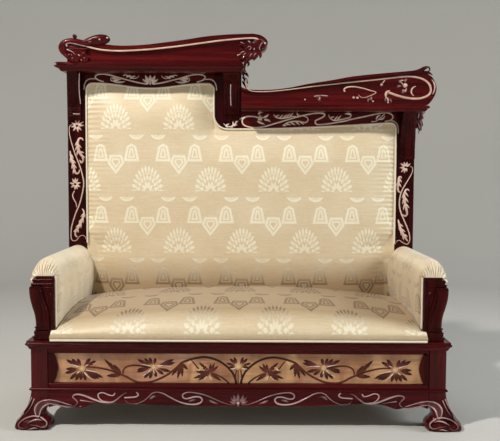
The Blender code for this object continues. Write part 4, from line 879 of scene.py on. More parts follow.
# Face of the back pad: a sine roll up from each edge to a flat crown, flat beside the arms, with small
# puckers where it's tacked along its upright edges.
def padFront(x, z):
    half, step = opening["inner"], -opening["stepWide"]
    foot = rightUnderLine(np.float64(0))
    beside = np.clip((z - pad["overArm"]) / pad["fade"], 0, 1)
    toSide = pad["beside"] + (half - pad["beside"]) * beside - np.abs(x)
    rightPart = padRise(rightUnderLine(x) - z)
    away = np.hypot(step - x, np.clip(foot - z, 0, None))
    leftPart = padRise(away) * padRise(leftUnderLine(x) - z)
    crown = padRise(toSide) * np.where(x >= step, rightPart, leftPart)
    edge = half - np.abs(x)
    puckers = pad["pucker"] * np.exp(-edge / 0.045) * np.sin(2 * math.pi * z / 0.021 + 1.5 * np.sin(13 * z))
    topGap = np.where(x >= step, rightUnderLine(x), leftUnderLine(x)) - z
    tacks = 0.0010 * np.exp(-np.clip(topGap, 0, None) / 0.025) * np.sin(2 * math.pi * x / 0.024)
    soft = 0.0012 * np.sin(8 * x + 2) * np.sin(7 * z) + 0.0007 * np.sin(21 * x) * np.sin(17 * z + 1)
    return backFront + gap - pad["crown"] * crown - (soft + puckers + tacks) * np.clip(crown * 6, 0, 1)


# A sheet over the stepped opening, in a low band under the step's level and a high band on the left,
# closed by a rim. Its faces' depths are functions of x and z, and its rows are shares of the height.
def openingSheet(edges, sharesLow, sharesHigh, frontDepth, rearDepth):
    a, b, c = edges
    lowX = np.concatenate([a[:, 0], b[1:, 0], c[:, 0]])
    level = np.concatenate([np.full(len(a), b[0, 1]), b[1:, 1], c[:, 1]])
    zLow = opening["sill"] + (level - opening["sill"])[None, :] * sharesLow[:, None]
    xLow = np.broadcast_to(lowX, zLow.shape)
    zHigh = b[0, 1] + (a[:, 1] - b[0, 1])[None, :] * sharesHigh[1:, None]
    xHigh = np.broadcast_to(a[:, 0], zHigh.shape)
    points = np.concatenate([np.stack([xLow.ravel(), zLow.ravel()], 1), np.stack([xHigh.ravel(), zHigh.ravel()], 1)])
    faces = quads(*zLow.shape, loop=False)
    # the high band's first row is the low band's last one under the left rail
    rows, columns = zHigh.shape
    number = np.arange(rows * columns).reshape(rows, columns) + zLow.size
    number = np.vstack([(zLow.shape[0] - 1) * zLow.shape[1] + np.arange(columns), number])
    corners = [number[:-1, :-1], number[:-1, 1:], number[1:, 1:], number[1:, :-1]]
    faces = np.vstack([faces, np.stack(corners, -1).reshape(-1, 4)])
    x, z = points.T
    front = np.stack([x, frontDepth(x, z), z], 1)
    rear = np.stack([x, rearDepth(x, z), z], 1)
    # rim faces join each boundary edge of the sheet to the same edge of the rear
    edges = np.concatenate([faces[:, [k, (k + 1) % 4]] for k in range(4)])
    key = np.sort(edges, 1) @ np.array([len(points), 1])
    _, first, count = np.unique(key, return_index=True, return_counts=True)
    rim = edges[first[count == 1]]
    total = len(points)
    sides = np.stack([rim[:, 1], rim[:, 0], rim[:, 0] + total, rim[:, 1] + total], 1)
    return np.vstack([front, rear]), np.vstack([faces, faces[:, ::-1] + total, sides]).tolist()


def backCushion():
    shares = np.concatenate([np.linspace(0, 0.26, 40), np.linspace(0.26, 1, 120)[1:]])
    at, faces = openingSheet(topEdges(gap), shares, np.linspace(0, 1, 60), padFront,
                             lambda x, z: np.full_like(x, backFront + pad["thick"]))
    x, z = at[:, 0], at[:, 2]
    cloth = np.stack([x - pad["clothAside"], z - pad["rowStart"] + pad["clothShift"], 0 * x], 1)
    # the tone is painted shade, darker towards the pad's foot
    return {"at": at, "faces": faces, "values": {"cloth": cloth, "tone": np.clip((z - 0.49) / 0.13, 0, 1)}}


made = makePiece("back_cushion", [backCushion()], damaskCloth, ["back_pad"], crease=60)
print("back is covered")


# Piping: cord along the edges of the upholstery

# A round cord: a circle carried along a path of points, in frames that turn with it.
def cord(path, radius):
    way = np.gradient(path, axis=0)
    way /= np.linalg.norm(way, axis=1, keepdims=True) + 1e-12
    ahead = np.array([0, -1.0, 0]) if abs(way[:, 1]).max() < 0.9 else np.array([0, 0, 1.0])
    first = np.cross(way, ahead)
    first /= np.linalg.norm(first, axis=1, keepdims=True) + 1e-12
    second = np.cross(first, way)
    turn = circle(piping["sides"])[None, :, None]
    grid = path[:, None] + radius * (np.cos(turn) * first[:, None] + np.sin(turn) * second[:, None])
    cloth = joined(np.abs(turn[..., 0] / math.pi - 1) * 2, walked(path)[:, None], 0.0)
    return shell(grid, cloth=cloth)


def pipeAll():
    r = piping["radius"]
    edge = evenly(openingLine(0.5 * r, pad["overArm"] + 2 * r), 0.006)
    path = joined(edge[:, 0], backFront - 1.5 * r, edge[:, 1])
    makePiece("back_cord", [cord(path, r)], cordCloth, ["back_piping"])
    for side, word in hands:
        z = np.linspace(arm["cordFoot"], arm["postTop"] + 0.001, 40)
        path = joined(side * (arm["postIn"] - r - gap), arm["postFront"] + 3 * r, z)
        makePiece(f"arm_cord_{word}", [cord(path, r)], cordCloth, [f"arm_piping_{word}"])
    x = np.linspace(-seat["ear"] + r, seat["ear"] - r, 200)
    path = joined(x, seat["front"] - r - gap, railTop + gap + r)
    makePiece("seat_cord", [cord(path, r)], cordCloth, ["seat_piping"])


pipeAll()
print("piping is laid")


# Relief and inlay: lines and leaves drawn on the photograph, laid on the face that carries them

# Width along a strand, as a share: s runs from 0 to 1 and ends is 1 away from the rounded ends.
def shareAlong(shape, s, ends):
    if shape in ("leaf", "saw"):
        return np.sin(math.pi * s ** 0.75) ** 0.8
    if shape == "drop":
        return np.sin(math.pi * s ** 1.7) ** 0.75
    if shape == "bud":
        return (0.30 + 0.70 * np.sin(math.pi * np.clip(s * 0.72, 0, 1)) ** 2) * ends
    if shape == "petal":
        return np.sin(math.pi * s ** 1.35) * (1 - 0.22 * (s * 4 % 1) * (s > 0.4))
    if shape == "blade":
        return np.clip(s / 0.22, 0, 1) ** 0.6 * (1 - s) ** 0.75
    if shape == "swell":
        return (0.42 + 0.58 * np.sin(math.pi * s)) * ends
    if shape == "whip":
        return (0.34 + 0.66 * s ** 1.4) * ends
    if shape == "tail":
        return (1 - 0.68 * s ** 1.2) * ends
    if shape == "bar":
        return np.ones_like(s)
    return ends


# Depth of a face, which is a number or a function of x and z.
def depthAt(face, x, z):
    return face(x, z) if callable(face) else face


# Low relief along a flat line of x and z: each section is half an ellipse, wide across and rise high on
# the face, over a shallow half sunk in it.
def strand(line, wide, rise, face, shape="line", sink=0.0006, vein=0.0, sides=12, spacing=0.0022, wearAndHighlight=1.0):
    path = evenly(flow(line) if len(line) > 2 else np.asarray(line, float), spacing)
    gone = walked(path)
    s = gone / gone[-1]
    away = np.minimum(gone, gone[-1] - gone) / (wide / 2)
    ends = np.sqrt(1 - (1 - np.clip(away, 0, 1)) ** 2)
    share = shareAlong(shape, s, ends)
    if shape == "saw":
        share = share * (1 - 0.35 * (s * 5 % 1))
    aside = across(path)
    turn = circle(sides)[None, :]
    share = share[:, None]
    offset = wide / 2 * share * np.cos(turn)
    lift = np.where(np.sin(turn) > 0, rise * np.sqrt(share) * np.sin(turn), sink * np.sqrt(share) * np.sin(turn))
    if vein:
        lift = lift - vein * rise * np.sqrt(share) * np.exp(-(np.cos(turn) / 0.3) ** 2) * (np.sin(turn) > 0)
    x = path[:, :1] + aside[:, :1] * offset
    z = path[:, 1:] + aside[:, 1:] * offset
    grid = joined(x, depthAt(face, x, z) - lift, z)
    # ridge marks where carved wood is painted pale: wear and a painted highlight on the section's top
    ridge = wearAndHighlight * np.clip(lift / rise, 0, 1) ** 4
    return shell(grid, ends=shape == "bar", shade=np.broadcast_to(s[:, None], x.shape), ridge=ridge)


# A bead or a flower: a round cap whose rim waves once for each petal, with a boss in the middle.
def dome(centre, radius, rise, face, petals=0, sink=0.0006, wearAndHighlight=1.0):
    rho = np.concatenate([[0, 1], 1 - np.linspace(0, 1, 9)[1:] ** 1.3])[:, None]
    count = max(16, petals * 8)
    turn = circle(count)[None, :]
    lobe = np.abs(np.cos(petals * turn / 2)) ** 0.6 if petals else 1 + 0 * turn
    reach = radius * ((0.58 + 0.42 * lobe) if petals else 1) * rho
    lift = rise * np.sqrt(1 - rho ** 2) * np.ones_like(turn)
    if petals:
        boss = 0.7 * np.exp(-(rho / 0.2) ** 2)
        lift = rise * (np.sqrt(1 - rho ** 2) * 0.45 + 0.55 * lobe * np.sin(math.pi * rho) + boss)
    lift[0], lift[1] = -sink, -sink
    x = centre[0] + reach * np.sin(turn)
    z = centre[1] + reach * np.cos(turn)
    grid = joined(x, depthAt(face, x, z) - lift, z)
    # ridge marks where carved wood is painted pale: wear and a painted highlight on the dome's top
    ridge = np.broadcast_to(wearAndHighlight * np.clip(lift / abs(rise), 0, 1) ** 2, x.shape)
    return shell(grid, ends=False, shade=np.broadcast_to(rho, x.shape), ridge=ridge)


veined = ("leaf", "drop", "blade")


# Shells for a dictionary of named strokes: each is its shape, width and rise in millimetres, and the
# photograph's pixels that it passes. Mirror repeats them on the other side of that x, and fit draws
# their rows towards a level by a share.
def drawn(items, face, depth=None, mirror=None, fit=(0.0, 1.0)):
    depth = face if depth is None else depth
    shells = []
    for shape, wide, rise, pixels in items.values():
        pixels = [(u, fit[0] + (v - fit[0]) * fit[1]) for u, v in pixels]
        places = onPhoto(pixels, depth)
        if callable(face):
            for step in range(3):
                places = onPhoto(pixels, face(*places.T))
        for flip in (False, True) if mirror is not None else (False,):
            at = places * (-1, 1) + (2 * mirror, 0) if flip else places
            if shape.startswith("flower"):
                shells.append(dome(at[0], wide / 2000, rise / 1000, face, petals=int(shape[6:])))
            elif shape == "bead":
                shells += [dome(one, wide / 2000, rise / 1000, face) for one in at]
            else:
                vein = 0.35 if shape in veined else 0
                shells.append(strand(at, wide / 1000, rise / 1000, face, shape, vein=vein))
    return shells


# Thin inlaid wood with its own fine grain, shaded towards one end as if in hot sand.
def inlayWood(name, light, dark, rough=0.32, coat=0.25, gleam=0.4):
    made, tree, shader = newMaterial(name)
    grain = noise(tree, objectPoint(tree, (30, 30, 120)), 1.0, 4.0, 0.6, 0.4)
    mottle = times(tree, minus(tree, grain, 0.5), 0.5)
    shade = spread(tree, plus(tree, attribute(tree, "shade", "Fac"), mottle), 0.15, 0.95)
    streak = ramp(tree, grain, ((0.35, (0.72, 0.68, 0.64)), (0.62, (1.0, 1.0, 1.0))))
    colour = shaded(tree, blendColour(tree, shade, light, dark), streak)
    tree.links.new(colour, shader.inputs["Base Color"])
    setSockets(shader, {"Roughness": rough, "Coat Weight": coat, "Coat Roughness": 0.12, "Specular IOR Level": gleam})
    relief(tree, shader, grain, 0.25, 0.0003)
    return made


holly = inlayWood("holly_inlay", (0.95, 0.80, 0.70), (0.84, 0.64, 0.55))
blush = inlayWood("blush_inlay", (0.86, 0.63, 0.54), (0.68, 0.45, 0.38))
# The pale bead stands for the crests' cream lines and for painted highlights on cap edges, pearls and carved tips.
paleBeadAndHighlight = inlayWood("pale_bead_and_painted_highlight", (0.80, 0.56, 0.45), (0.76, 0.50, 0.40), 0.22, 0.6)
# Painted highlights: pale strokes where the polished carving catches the light.
paintedGlint = inlayWood("painted_glint", (0.80, 0.66, 0.68), (0.72, 0.54, 0.56), 0.2, 0.7)
purpleLeaf = inlayWood("purple_leaf", (0.17, 0.034, 0.030), (0.036, 0.005, 0.007), 0.42, 0.04, 0.2)
oliveLeaf = inlayWood("brown_leaf", (0.130, 0.030, 0.014), (0.034, 0.007, 0.005), 0.42, 0.04, 0.2)
creamWood = inlayWood("cream_inlay", (0.80, 0.60, 0.36), (0.62, 0.38, 0.18))

openingMiddle = -(opening["inner"] + opening["stepWide"]) / 2

leftRailInlay = {
    "loop": ("line", 6.2, 1.6, [(104, 81), (98, 78.4), (95.2, 75), (97, 72.2), (103, 71), (112, 73), (120, 76),
        (130, 79.3), (140, 82.3), (148, 83.8)]),
    "secondStem": ("line", 4.3, 1.3, [(120, 82), (114.5, 80.8), (111, 78.8), (111.6, 75.8), (116, 74.6)]),
    "leafA": ("leaf", 11, 1.8, [(113, 80.2), (118, 78), (121.5, 77.8)]),
    "leafB": ("leaf", 9, 1.6, [(114, 81), (120, 81.4), (125.5, 80.4)]),
    "leafC": ("leaf", 8, 1.6, [(112, 77.5), (115.5, 76.2), (118.5, 76.6)]),
    "sprayStem": ("line", 4.1, 1.3, [(123, 73.2), (126, 72.2), (130, 75), (134, 76.6), (137.4, 75.4), (139, 72.8)]),
    "sprayA": ("leaf", 9, 1.6, [(126, 74.8), (129.5, 73.4), (132, 74.6)]),
    "sprayB": ("leaf", 8, 1.6, [(130, 77), (133.5, 74.2), (136, 73.8)]),
    "petalA": ("leaf", 13, 2.0, [(149, 80), (146.4, 76), (145.4, 72.4)]),
    "petalB": ("leaf", 12, 2.0, [(149, 80.6), (145, 79.6), (142.2, 77.2)]),
    "petalC": ("leaf", 10, 1.8, [(149, 81.4), (146.4, 83.2), (143.6, 82.6)]),
}
leftRailCorner = {"line": ("line", 5.2, 1.8, [(84.0, 90), (84.4, 85), (86.2, 81), (90, 78.8), (96, 78.8)])}
leftRailMiddle = {
    "petal": ("leaf", 13, 2.2, [(150.2, 80), (150.2, 76), (150.2, 72)]),
    "heart": ("flower5", 14, 3.2, [(150.2, 79.6)]),
    "foot": ("leaf", 9, 1.8, [(150.2, 81), (150.2, 83), (150.2, 85)]),
}
rightRailInlay = {
    "mainStem": ("line", 6.5, 1.6, [(262, 119), (255, 116.6), (247.5, 116.4), (243.4, 118.4), (242.2, 121.4),
        (244, 125), (250, 127.3), (258, 127.5), (265, 126.4), (275, 123.5), (285, 120.5), (295, 117.5), (303, 115.4),
        (312, 113.6), (320, 113), (324.4, 114), (323.6, 116.6), (319.4, 118.8), (315.6, 120.6), (315.6, 123.4),
        (319, 124.6), (330, 123.5), (345, 121), (350, 119.6), (365, 116.4), (378, 113.6), (386, 112.6),
        (391.4, 114.4), (393, 117.4), (390.4, 120.2), (384.6, 121.6)]),
    "flower": ("flower5", 27, 3.4, [(260, 118)]),
    "flowerLeafA": ("leaf", 10, 1.8, [(263, 118), (267, 115.8), (269, 113.8)]),
    "flowerLeafB": ("leaf", 10, 1.8, [(264, 119.6), (268, 120), (270.6, 122)]),
    "flowerLeafC": ("leaf", 9, 1.8, [(258, 115), (260, 112.6), (263.4, 112)]),
    "flowerLeafD": ("leaf", 9, 1.8, [(257, 121), (261, 123), (265, 124.4)]),
    "endStem": ("line", 4.3, 1.4, [(371, 121.6), (376, 121.2), (380.6, 117.6), (385, 113.4)]),
    "endA": ("leaf", 8, 1.6, [(376, 120), (377.6, 116.6), (381, 114.8)]),
    "endB": ("leaf", 8, 1.6, [(379, 119.6), (383, 118.6), (385, 115.4)]),
    "cornerOuter": ("line", 5.7, 1.6, [(385, 122), (391, 120.6), (396, 122.8), (398, 127), (398.2, 134)]),
    "cornerInner": ("line", 4.1, 1.4, [(388, 124.4), (392.4, 124), (395, 127), (395.4, 134)]),
}
rightRailLeaves = {
    "corner": ([(223.4, 123.4), (226.5, 126), (230.5, 126.8), (234.5, 124.6), (237.5, 121), (241, 118.4), (245, 117)],
        [(229.4, 123.4), (233, 121), (236.6, 117.8), (228.4, 128.2), (233.6, 127.4), (237.6, 124.6)]),
    "spray": ([(273.4, 114.2), (276, 117.2), (281, 118.4), (287, 117.6), (293, 116.4), (298, 116.6), (299.4, 114.2)],
        [(279.6, 114.8), (283.6, 114.6), (287.4, 114), (290.4, 113.2), (293.6, 112.6), (296.6, 112.4)]),
    "under": ([(282.6, 125.6), (287, 122.8), (293, 121.4), (300, 121.6), (305, 122.6), (308, 120.4), (307, 117.4),
        (303, 116)], [(287, 125.4), (291, 125), (295.6, 125.2), (300, 125.2), (304, 124.8)]),
    "curl": ([(328.6, 114.6), (330, 118), (334, 120.4), (340, 119.8), (346, 118.4), (350.4, 117), (350.6, 113.8),
        (347, 112.8)], [(334.6, 116.4), (338, 115.8), (341.4, 115), (344.4, 113.8), (347.6, 114.6)]),
}
leftStileInlay = {
    "stem": ("swell", 6, 1.8, [(72, 124.4), (69.6, 126.6), (69.2, 131), (70.1, 137.3), (72.3, 145.3), (74.5, 152.5),
        (77.7, 160.6), (80.4, 167.7), (82.6, 175.8), (83.8, 183.2), (83, 190.3), (81.2, 198.4), (79, 205.5),
        (76.3, 211.8), (74.1, 218.1), (71.8, 226.1), (71, 233.3), (71.4, 238.7), (73.6, 240.9), (76.8, 240),
        (79, 236.9), (82.1, 235.3), (84.8, 236.4), (86.2, 239.6)]),
    "lowStem": ("line", 4.6, 1.5, [(74.5, 190.8), (72.7, 194.8), (73.6, 198.8), (75.9, 202.9), (76.8, 207.3)]),
}
leftStileHeads = {
    "high": ("leaf", 9, 2.0, 0.16, (76.8, 125.8), [(71.4, 122.5), (75.5, 119.8), (79.5, 120.2), (83.5, 121.6),
        (84.2, 125.4), (81.6, 130.4), (78.2, 132.4), (73.2, 131), (71, 127)]),
    "low": ("leaf", 9, 2.0, 0.16, (75.2, 184.4), [(69.6, 182.8), (71, 187.6), (72.3, 178.4), (75.4, 177.4),
        (78.1, 178.4), (80.8, 182.5), (80.4, 187), (75, 190), (77.7, 189.4)]),
}
leftStileLeaves = {
    "upper": ([(83.2, 140.6), (82, 138.6), (79.5, 138.4), (77.8, 141.8), (78.1, 147), (79.6, 152.5), (82.4, 156.6),
        (83.2, 160), (81.8, 162.8), (79.9, 162)], [(74.8, 146), (75, 151), (81.6, 148), (76.6, 156), (84.6, 153),
        (79.2, 159.6), (85.4, 158)]),
    "left": ([(70, 150.6), (71, 157), (73, 163.6), (74.1, 169), (75.6, 173), (78.4, 173), (79.9, 169.5)],
        [(73.8, 159), (70, 163), (76, 163.6), (71.6, 169), (77, 168.4), (73, 174)]),
    "lower": ([(82.1, 208.6), (83.9, 211.6), (83.4, 216.3), (81.2, 221.7), (78.6, 227), (75.6, 231.5), (75.4, 235.1),
        (77.7, 237.3)], [(85.4, 218), (80.4, 217), (83.4, 223.4), (78.4, 222.4), (81, 228.6), (75.6, 227.6),
        (78.4, 233), (73.4, 232)]),
}
rightStileInlay = {
    "stem": ("swell", 6, 1.8, [(410, 166.4), (412.4, 167.8), (412.2, 172.1), (409.1, 178.3), (405.3, 184.5),
        (401.6, 191.3), (399.8, 198.1), (399.4, 205.6), (401, 213), (404.1, 220.4), (407.2, 227.9), (409.3, 234.1),
        (409.7, 240.3), (407.2, 244.2), (402.9, 242.7), (399.2, 240.3), (396, 242.1), (394.6, 245)]),
}
rightStileHeads = {
    "high": ("leaf", 9, 2.0, 0.16, (405.6, 167.4), [(400.4, 163.2), (399.6, 167.8), (401, 172.3), (404.1, 173.2),
        (407, 171.8), (403.9, 161.8), (407.4, 161.8), (410.6, 163.4)]),
}
rightStileLeaves = {
    "upper": ([(401.6, 178.4), (400.6, 176.8), (399, 177.6), (398.5, 182), (397.6, 187.4), (398.5, 191.4),
        (401.2, 192.6)], [(401.8, 182.6), (401.4, 187.4), (395.6, 186.4)]),
    "middle": ([(409.1, 191), (407.8, 189.4), (405.8, 190), (404.2, 194.4), (404.7, 201.8), (406.4, 209.3),
        (407, 214), (404.9, 216.1), (402.3, 214.2)], [(408.4, 197), (401.8, 198.6), (408.6, 202.6), (402.3, 204.6),
        (409.6, 208.6), (403.2, 210.4)]),
    "lower": ([(398.2, 219.4), (399.4, 225.4), (401.6, 231.6), (405.3, 237.8), (407.8, 241.5)], [(403.4, 227),
        (399.6, 231), (405.6, 232), (401.4, 236), (408, 237), (403.6, 240.4)]),
}


# Blades from a centre to each tip, each starting a little way out.
def fan(items):
    made = {}
    for name, (shape, wide, rise, start, centre, tips) in items.items():
        for k, tip in enumerate(tips):
            near = [centre[i] + (tip[i] - centre[i]) * start for i in (0, 1)]
            middle = [(near[i] + tip[i]) / 2 for i in (0, 1)]
            made[f"{name}{k}"] = (shape, wide, rise, [near, middle, tip])
    return made


# Serrated leaves: a rib, and a barb to each tip from a place on the rib a little above the nearest one.
def serrated(items, ribWide=12, barbWide=8, rise=1.9):
    made = {}
    for name, (rib, tips) in items.items():
        made[name] = ("swell", ribWide, rise, rib)
        path = flow(rib)
        for k, tip in enumerate(tips):
            near = np.argmin(np.linalg.norm(path - tip, axis=1))
            root = path[max(0, near - 5)]
            made[f"{name}{k}"] = ("leaf", barbWide, rise, [tuple(root), tuple((root + tip) / 2), tip])
    return made


railFit = (85.6, 0.80)
makePiece("left_rail_inlay", drawn(leftRailInlay, backFront, mirror=openingMiddle, fit=railFit)
          + drawn(leftRailMiddle, backFront, fit=railFit)
          + drawn(leftRailCorner, backFront, mirror=openingMiddle), holly)
makePiece("right_rail_inlay", drawn({**rightRailInlay, **serrated(rightRailLeaves, 7, 7)}, backFront), holly)
makePiece("left_stile_inlay", drawn({**leftStileInlay, **fan(leftStileHeads), **serrated(leftStileLeaves)},
                                    backFront), blush)
makePiece("right_stile_inlay", drawn({**rightStileInlay, **fan(rightStileHeads), **serrated(rightStileLeaves)},
                                     backFront), blush)
print("stiles and top rails are inlaid")


# Crest carving

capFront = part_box("left_crest_cap")[0].y
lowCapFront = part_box("right_crest_cap")[0].y

# The cap's lower edge as a pale stroke: a painted highlight.
leftCrestLine = {
    "capEdge": ("line", 7.5, 2.2, [(80, 44.2), (88, 46.8), (97, 49), (105, 50.2), (115, 50.8), (125, 50.8),
        (137, 50.2), (150, 49.3), (165, 47.8), (180, 46), (200, 43.3), (220, 40.6), (240, 38.8), (250, 38.2),
        (256, 38.6), (259, 40.8), (258, 44.4)]),
}
# Pale lines of the low crest: a pale bead, with the rim's gleam as a painted highlight.
rightCrestLine = {
    "mainLine": ("whip", 10.6, 3.2, [(246, 79), (246, 85), (248.4, 89.4), (254, 91.4), (266, 91.6), (280, 90.6),
        (300, 88.2), (320, 85.6), (345, 82.8), (365, 80.8), (382, 79), (395, 77.5), (407, 76.5), (415, 77),
        (423, 79.2), (428.4, 83.2), (430.6, 88), (430.4, 92.4), (427, 96), (420, 98.4), (412, 98.6), (403, 97.2),
        (395, 94.8), (388, 92.2)]),
    "innerScroll": ("swell", 6.5, 2.6, [(416, 86.2), (413, 87.6), (411.4, 90.6), (411.6, 93.4), (413.8, 96)]),
    "loop": ("tail", 6.5, 2.2, [(344.8, 92), (344.2, 89.2), (347.4, 87.2), (354, 86.8), (363, 88.3), (370, 90.4),
        (376, 92.4), (371.4, 95.2), (365, 97.5), (361, 97.2), (358.4, 94.6)]),
    "longStem": ("line", 4, 1.5, [(314, 96.4), (320, 95.4), (328, 96)]),
    "rimGleam": ("swell", 6, 2.4, [(431.6, 79.4), (433.8, 82.6), (434.8, 87), (434, 91.4), (432.4, 94.4)]),
    "budStem": ("line", 4, 1.6, [(385, 79.8), (383.6, 82), (381, 84.4)]),
}
# Pearls, dots and gleams in the pale material: painted highlights on the carved pearls and leaves.
rightCrestPearls = {
    "pearls": ("bead", 11, 4.5, [(353.6, 97.6), (357.4, 97.8)]),
    "dots": ("bead", 8, 3.6, [(388, 102.4), (305, 99.6), (319.6, 98.2), (373, 101.4)]),
    "budPearl": ("bead", 11, 6.0, [(381.4, 84.6)]),
    "bossPearl": ("bead", 20, 7.0, [(405.2, 85.4)]),
    "bossPetals": ("leaf", 6, 4.6, [(400, 81.6), (402, 80.4), (404.4, 80.2)]),
    "bossPetalsLow": ("leaf", 6, 4.6, [(402.4, 89.6), (404.6, 90.8), (407.2, 90)]),
    "gleamA": ("leaf", 10, 4.6, [(390, 90.4), (386.6, 92.2), (385.6, 95.4), (386.6, 99)]),
    "gleamB": ("leaf", 7, 4.0, [(386.4, 97), (388, 99.6), (388.4, 103)]),
    "gleamC": ("leaf", 5, 2.6, [(400.4, 82), (402.4, 83.6), (403.4, 86)]),
    "gleamD": ("leaf", 5, 2.6, [(406.6, 88.4), (405.4, 90.4), (406, 92.6)]),
}
rightCrestCarving = {
    "boss": ("flower7", 26, 5.0, [(405, 85.6)]),
    "bossLeafA": ("leaf", 11, 3.0, [(402, 83), (399.6, 81.2), (401.4, 79.6)]),
    "bossLeafB": ("leaf", 11, 3.0, [(405, 82.6), (405.6, 80), (408, 79.2)]),
    "bossLeafC": ("leaf", 11, 3.0, [(401.6, 86), (398, 86.4), (396.4, 88.4)]),
    "bossLeafD": ("leaf", 11, 3.0, [(403.6, 89), (402.8, 92), (404.6, 94)]),
    "bud": ("drop", 15, 5.0, [(384, 82.4), (382, 84.4), (380, 86.4)]),
    "sprayA": ("leaf", 11, 3.4, [(389, 92), (386.4, 94.6), (386.6, 98)]),
    "sprayB": ("leaf", 10, 3.4, [(388, 97), (385.4, 99.4), (386, 103)]),
    "sprayC": ("leaf", 9, 3.0, [(389, 98), (391, 101), (390.6, 104)]),
    "twigA": ("leaf", 9, 2.8, [(372, 96), (371, 99), (373, 101.8)]),
    "twigB": ("leaf", 9, 2.8, [(370, 98), (368, 100.6), (368.6, 103)]),
    "budLeafA": ("drop", 9, 3.0, [(316, 98), (319, 96), (321.4, 95.2)]),
    "budLeafB": ("drop", 9, 3.0, [(315.4, 99), (318.6, 99.6), (321, 101)]),
}
makePiece("left_crest_painted_highlight", drawn(leftCrestLine, capFront), paleBeadAndHighlight)


# The low crest's light line starts on the cap's edge and slips onto the board where the cap rises off it.
def lineDepth(x, z):
    onBoard = np.clip((x - 0.285) / 0.12, 0, 1)
    return lowCapFront + (crestFront - lowCapFront) * onBoard ** 2 * (3 - 2 * onBoard)


rightCrestStrokes = {name: rightCrestLine.pop(name) for name in ("loop", "longStem", "budStem", "innerScroll",
                                                                 "rimGleam")}
makePiece("right_crest_line", drawn(rightCrestLine, lineDepth, crestFront), paleBeadAndHighlight)
makePiece("right_crest_beads_and_highlights", drawn({**rightCrestStrokes, **rightCrestPearls}, crestFront), paleBeadAndHighlight)
makePiece("right_crest_carving", drawn(rightCrestCarving, crestFront), carved["x"])

scrollFace = crestFront - 0.013
# A dark sheet in the scroll's slot: painted shade in the hollow.
scrollSlotPaintedShade = {"slot": ("swell", 15, 1, [(67.4, 46.2), (72, 46), (76, 46.4), (80.4, 47)])}
leftScroll = {
    "plate": ("swell", 76, 3, [(64, 47.6), (74, 49), (86, 51.6)]),
    "outer": ("swell", 32, 13, [(90, 44.8), (81, 42.4), (72, 41.6), (65.4, 43), (62, 46.4), (62.6, 50.4), (65.6, 54),
        (69, 57.4), (73, 61.4)]),
    "lip": ("line", 10, 7, [(88, 49), (80, 49.2), (70, 49.2), (67, 49.4)]),
    "mass": ("swell", 60, 5, [(70, 51), (74, 56), (79, 61.4)]),
    "massLow": ("swell", 44, 4, [(84, 52), (84, 57), (87, 62)]),
    "shoot": ("bud", 45, 15, [(76, 43.8), (84, 42.4), (91, 40.8), (97, 39.8), (103, 39.4), (110.4, 39.4)]),
    "ridgeA": ("leaf", 11, 10, [(66.4, 49.7), (69.4, 50.7), (72.8, 52.4), (76.4, 56)]),
    "ridgeB": ("leaf", 11, 10, [(67.6, 53), (70, 55), (72.6, 59), (73, 62)]),
    "ridgeC": ("leaf", 10, 9, [(77, 53.6), (79.4, 56), (81.4, 60.4)]),
    "ridgeD": ("leaf", 10, 9, [(82, 53), (84.4, 56.4), (85.4, 61)]),
    "finialStem": ("line", 9, 6, [(74.4, 41.4), (74.6, 38)]),
    "tip": ("blade", 17, 8, [(76, 64.4), (68, 63.6), (60, 62.4), (53.6, 62.8)]),
}
leftScrollBeads = {"finial": ("bead", 19, 10, [(74.6, 36.3)])}
# Pale strokes on the scroll: painted highlights.
leftScrollStrokes = {
    "shoulder": ("leaf", 6, 16, [(63, 43.2), (65, 41.6), (68.4, 41)]),
    "slotEdge": ("line", 4.8, 15, [(67.4, 47.2), (66.6, 45), (69.4, 43.4), (75.2, 44.2), (81, 45.6), (87, 46.8)]),
    "slotSpot": ("bead", 8, 17, [(67.2, 45.4)]),
    "ridgeLine": ("tail", 7, 14, [(66.8, 49.7), (69.4, 50.6), (72.8, 52.3), (75.7, 54.9)]),
    "ridgeShort": ("leaf", 6, 12, [(78, 54.6), (79.4, 55.4), (80.8, 56.8)]),
    "crumbs": ("bead", 5, 12, [(69.4, 54.8), (71.8, 55), (72.6, 58.1), (66, 55.4), (81.5, 60.1), (84.4, 58)]),
    "neckLine": ("tail", 8, 18, [(96.4, 37.6), (93, 38.4), (89.4, 40.4), (85.6, 42.4)]),
    "neckUnder": ("leaf", 5, 17, [(88, 43.2), (92, 41.6), (95.4, 40.4)]),
    "pearls": ("bead", 12, 19, [(100.1, 39.9), (107.6, 38.4)]),
}


# The same strokes as round bodies, as thick behind the face as they rise before it.
def solid(items, face, thick):
    shells = []
    for shape, wide, rise, pixels in items.values():
        at = onPhoto(pixels, face)
        if shape == "bead":
            shells += [dome(one, wide / 2000, rise / 1000, face, sink=thick, wearAndHighlight=0.0) for one in at]
        else:
            vein = 0.3 if shape in veined else 0
            shells.append(strand(at, wide / 1000, rise / 1000, face, shape, sink=thick, vein=vein, sides=20, wearAndHighlight=0.0))
    return shells


makePiece("left_scroll", solid(leftScroll, scrollFace, 0.010) + solid(leftScrollBeads, scrollFace - 0.004, 0.008),
          carved["x"], ["left_crest_scroll"])
makePiece("left_scroll_painted_glints", drawn(leftScrollStrokes, scrollFace), paintedGlint)
makePiece("left_scroll_slot_painted_shade", drawn(scrollSlotPaintedShade, scrollFace - 0.0034), purpleLeaf)

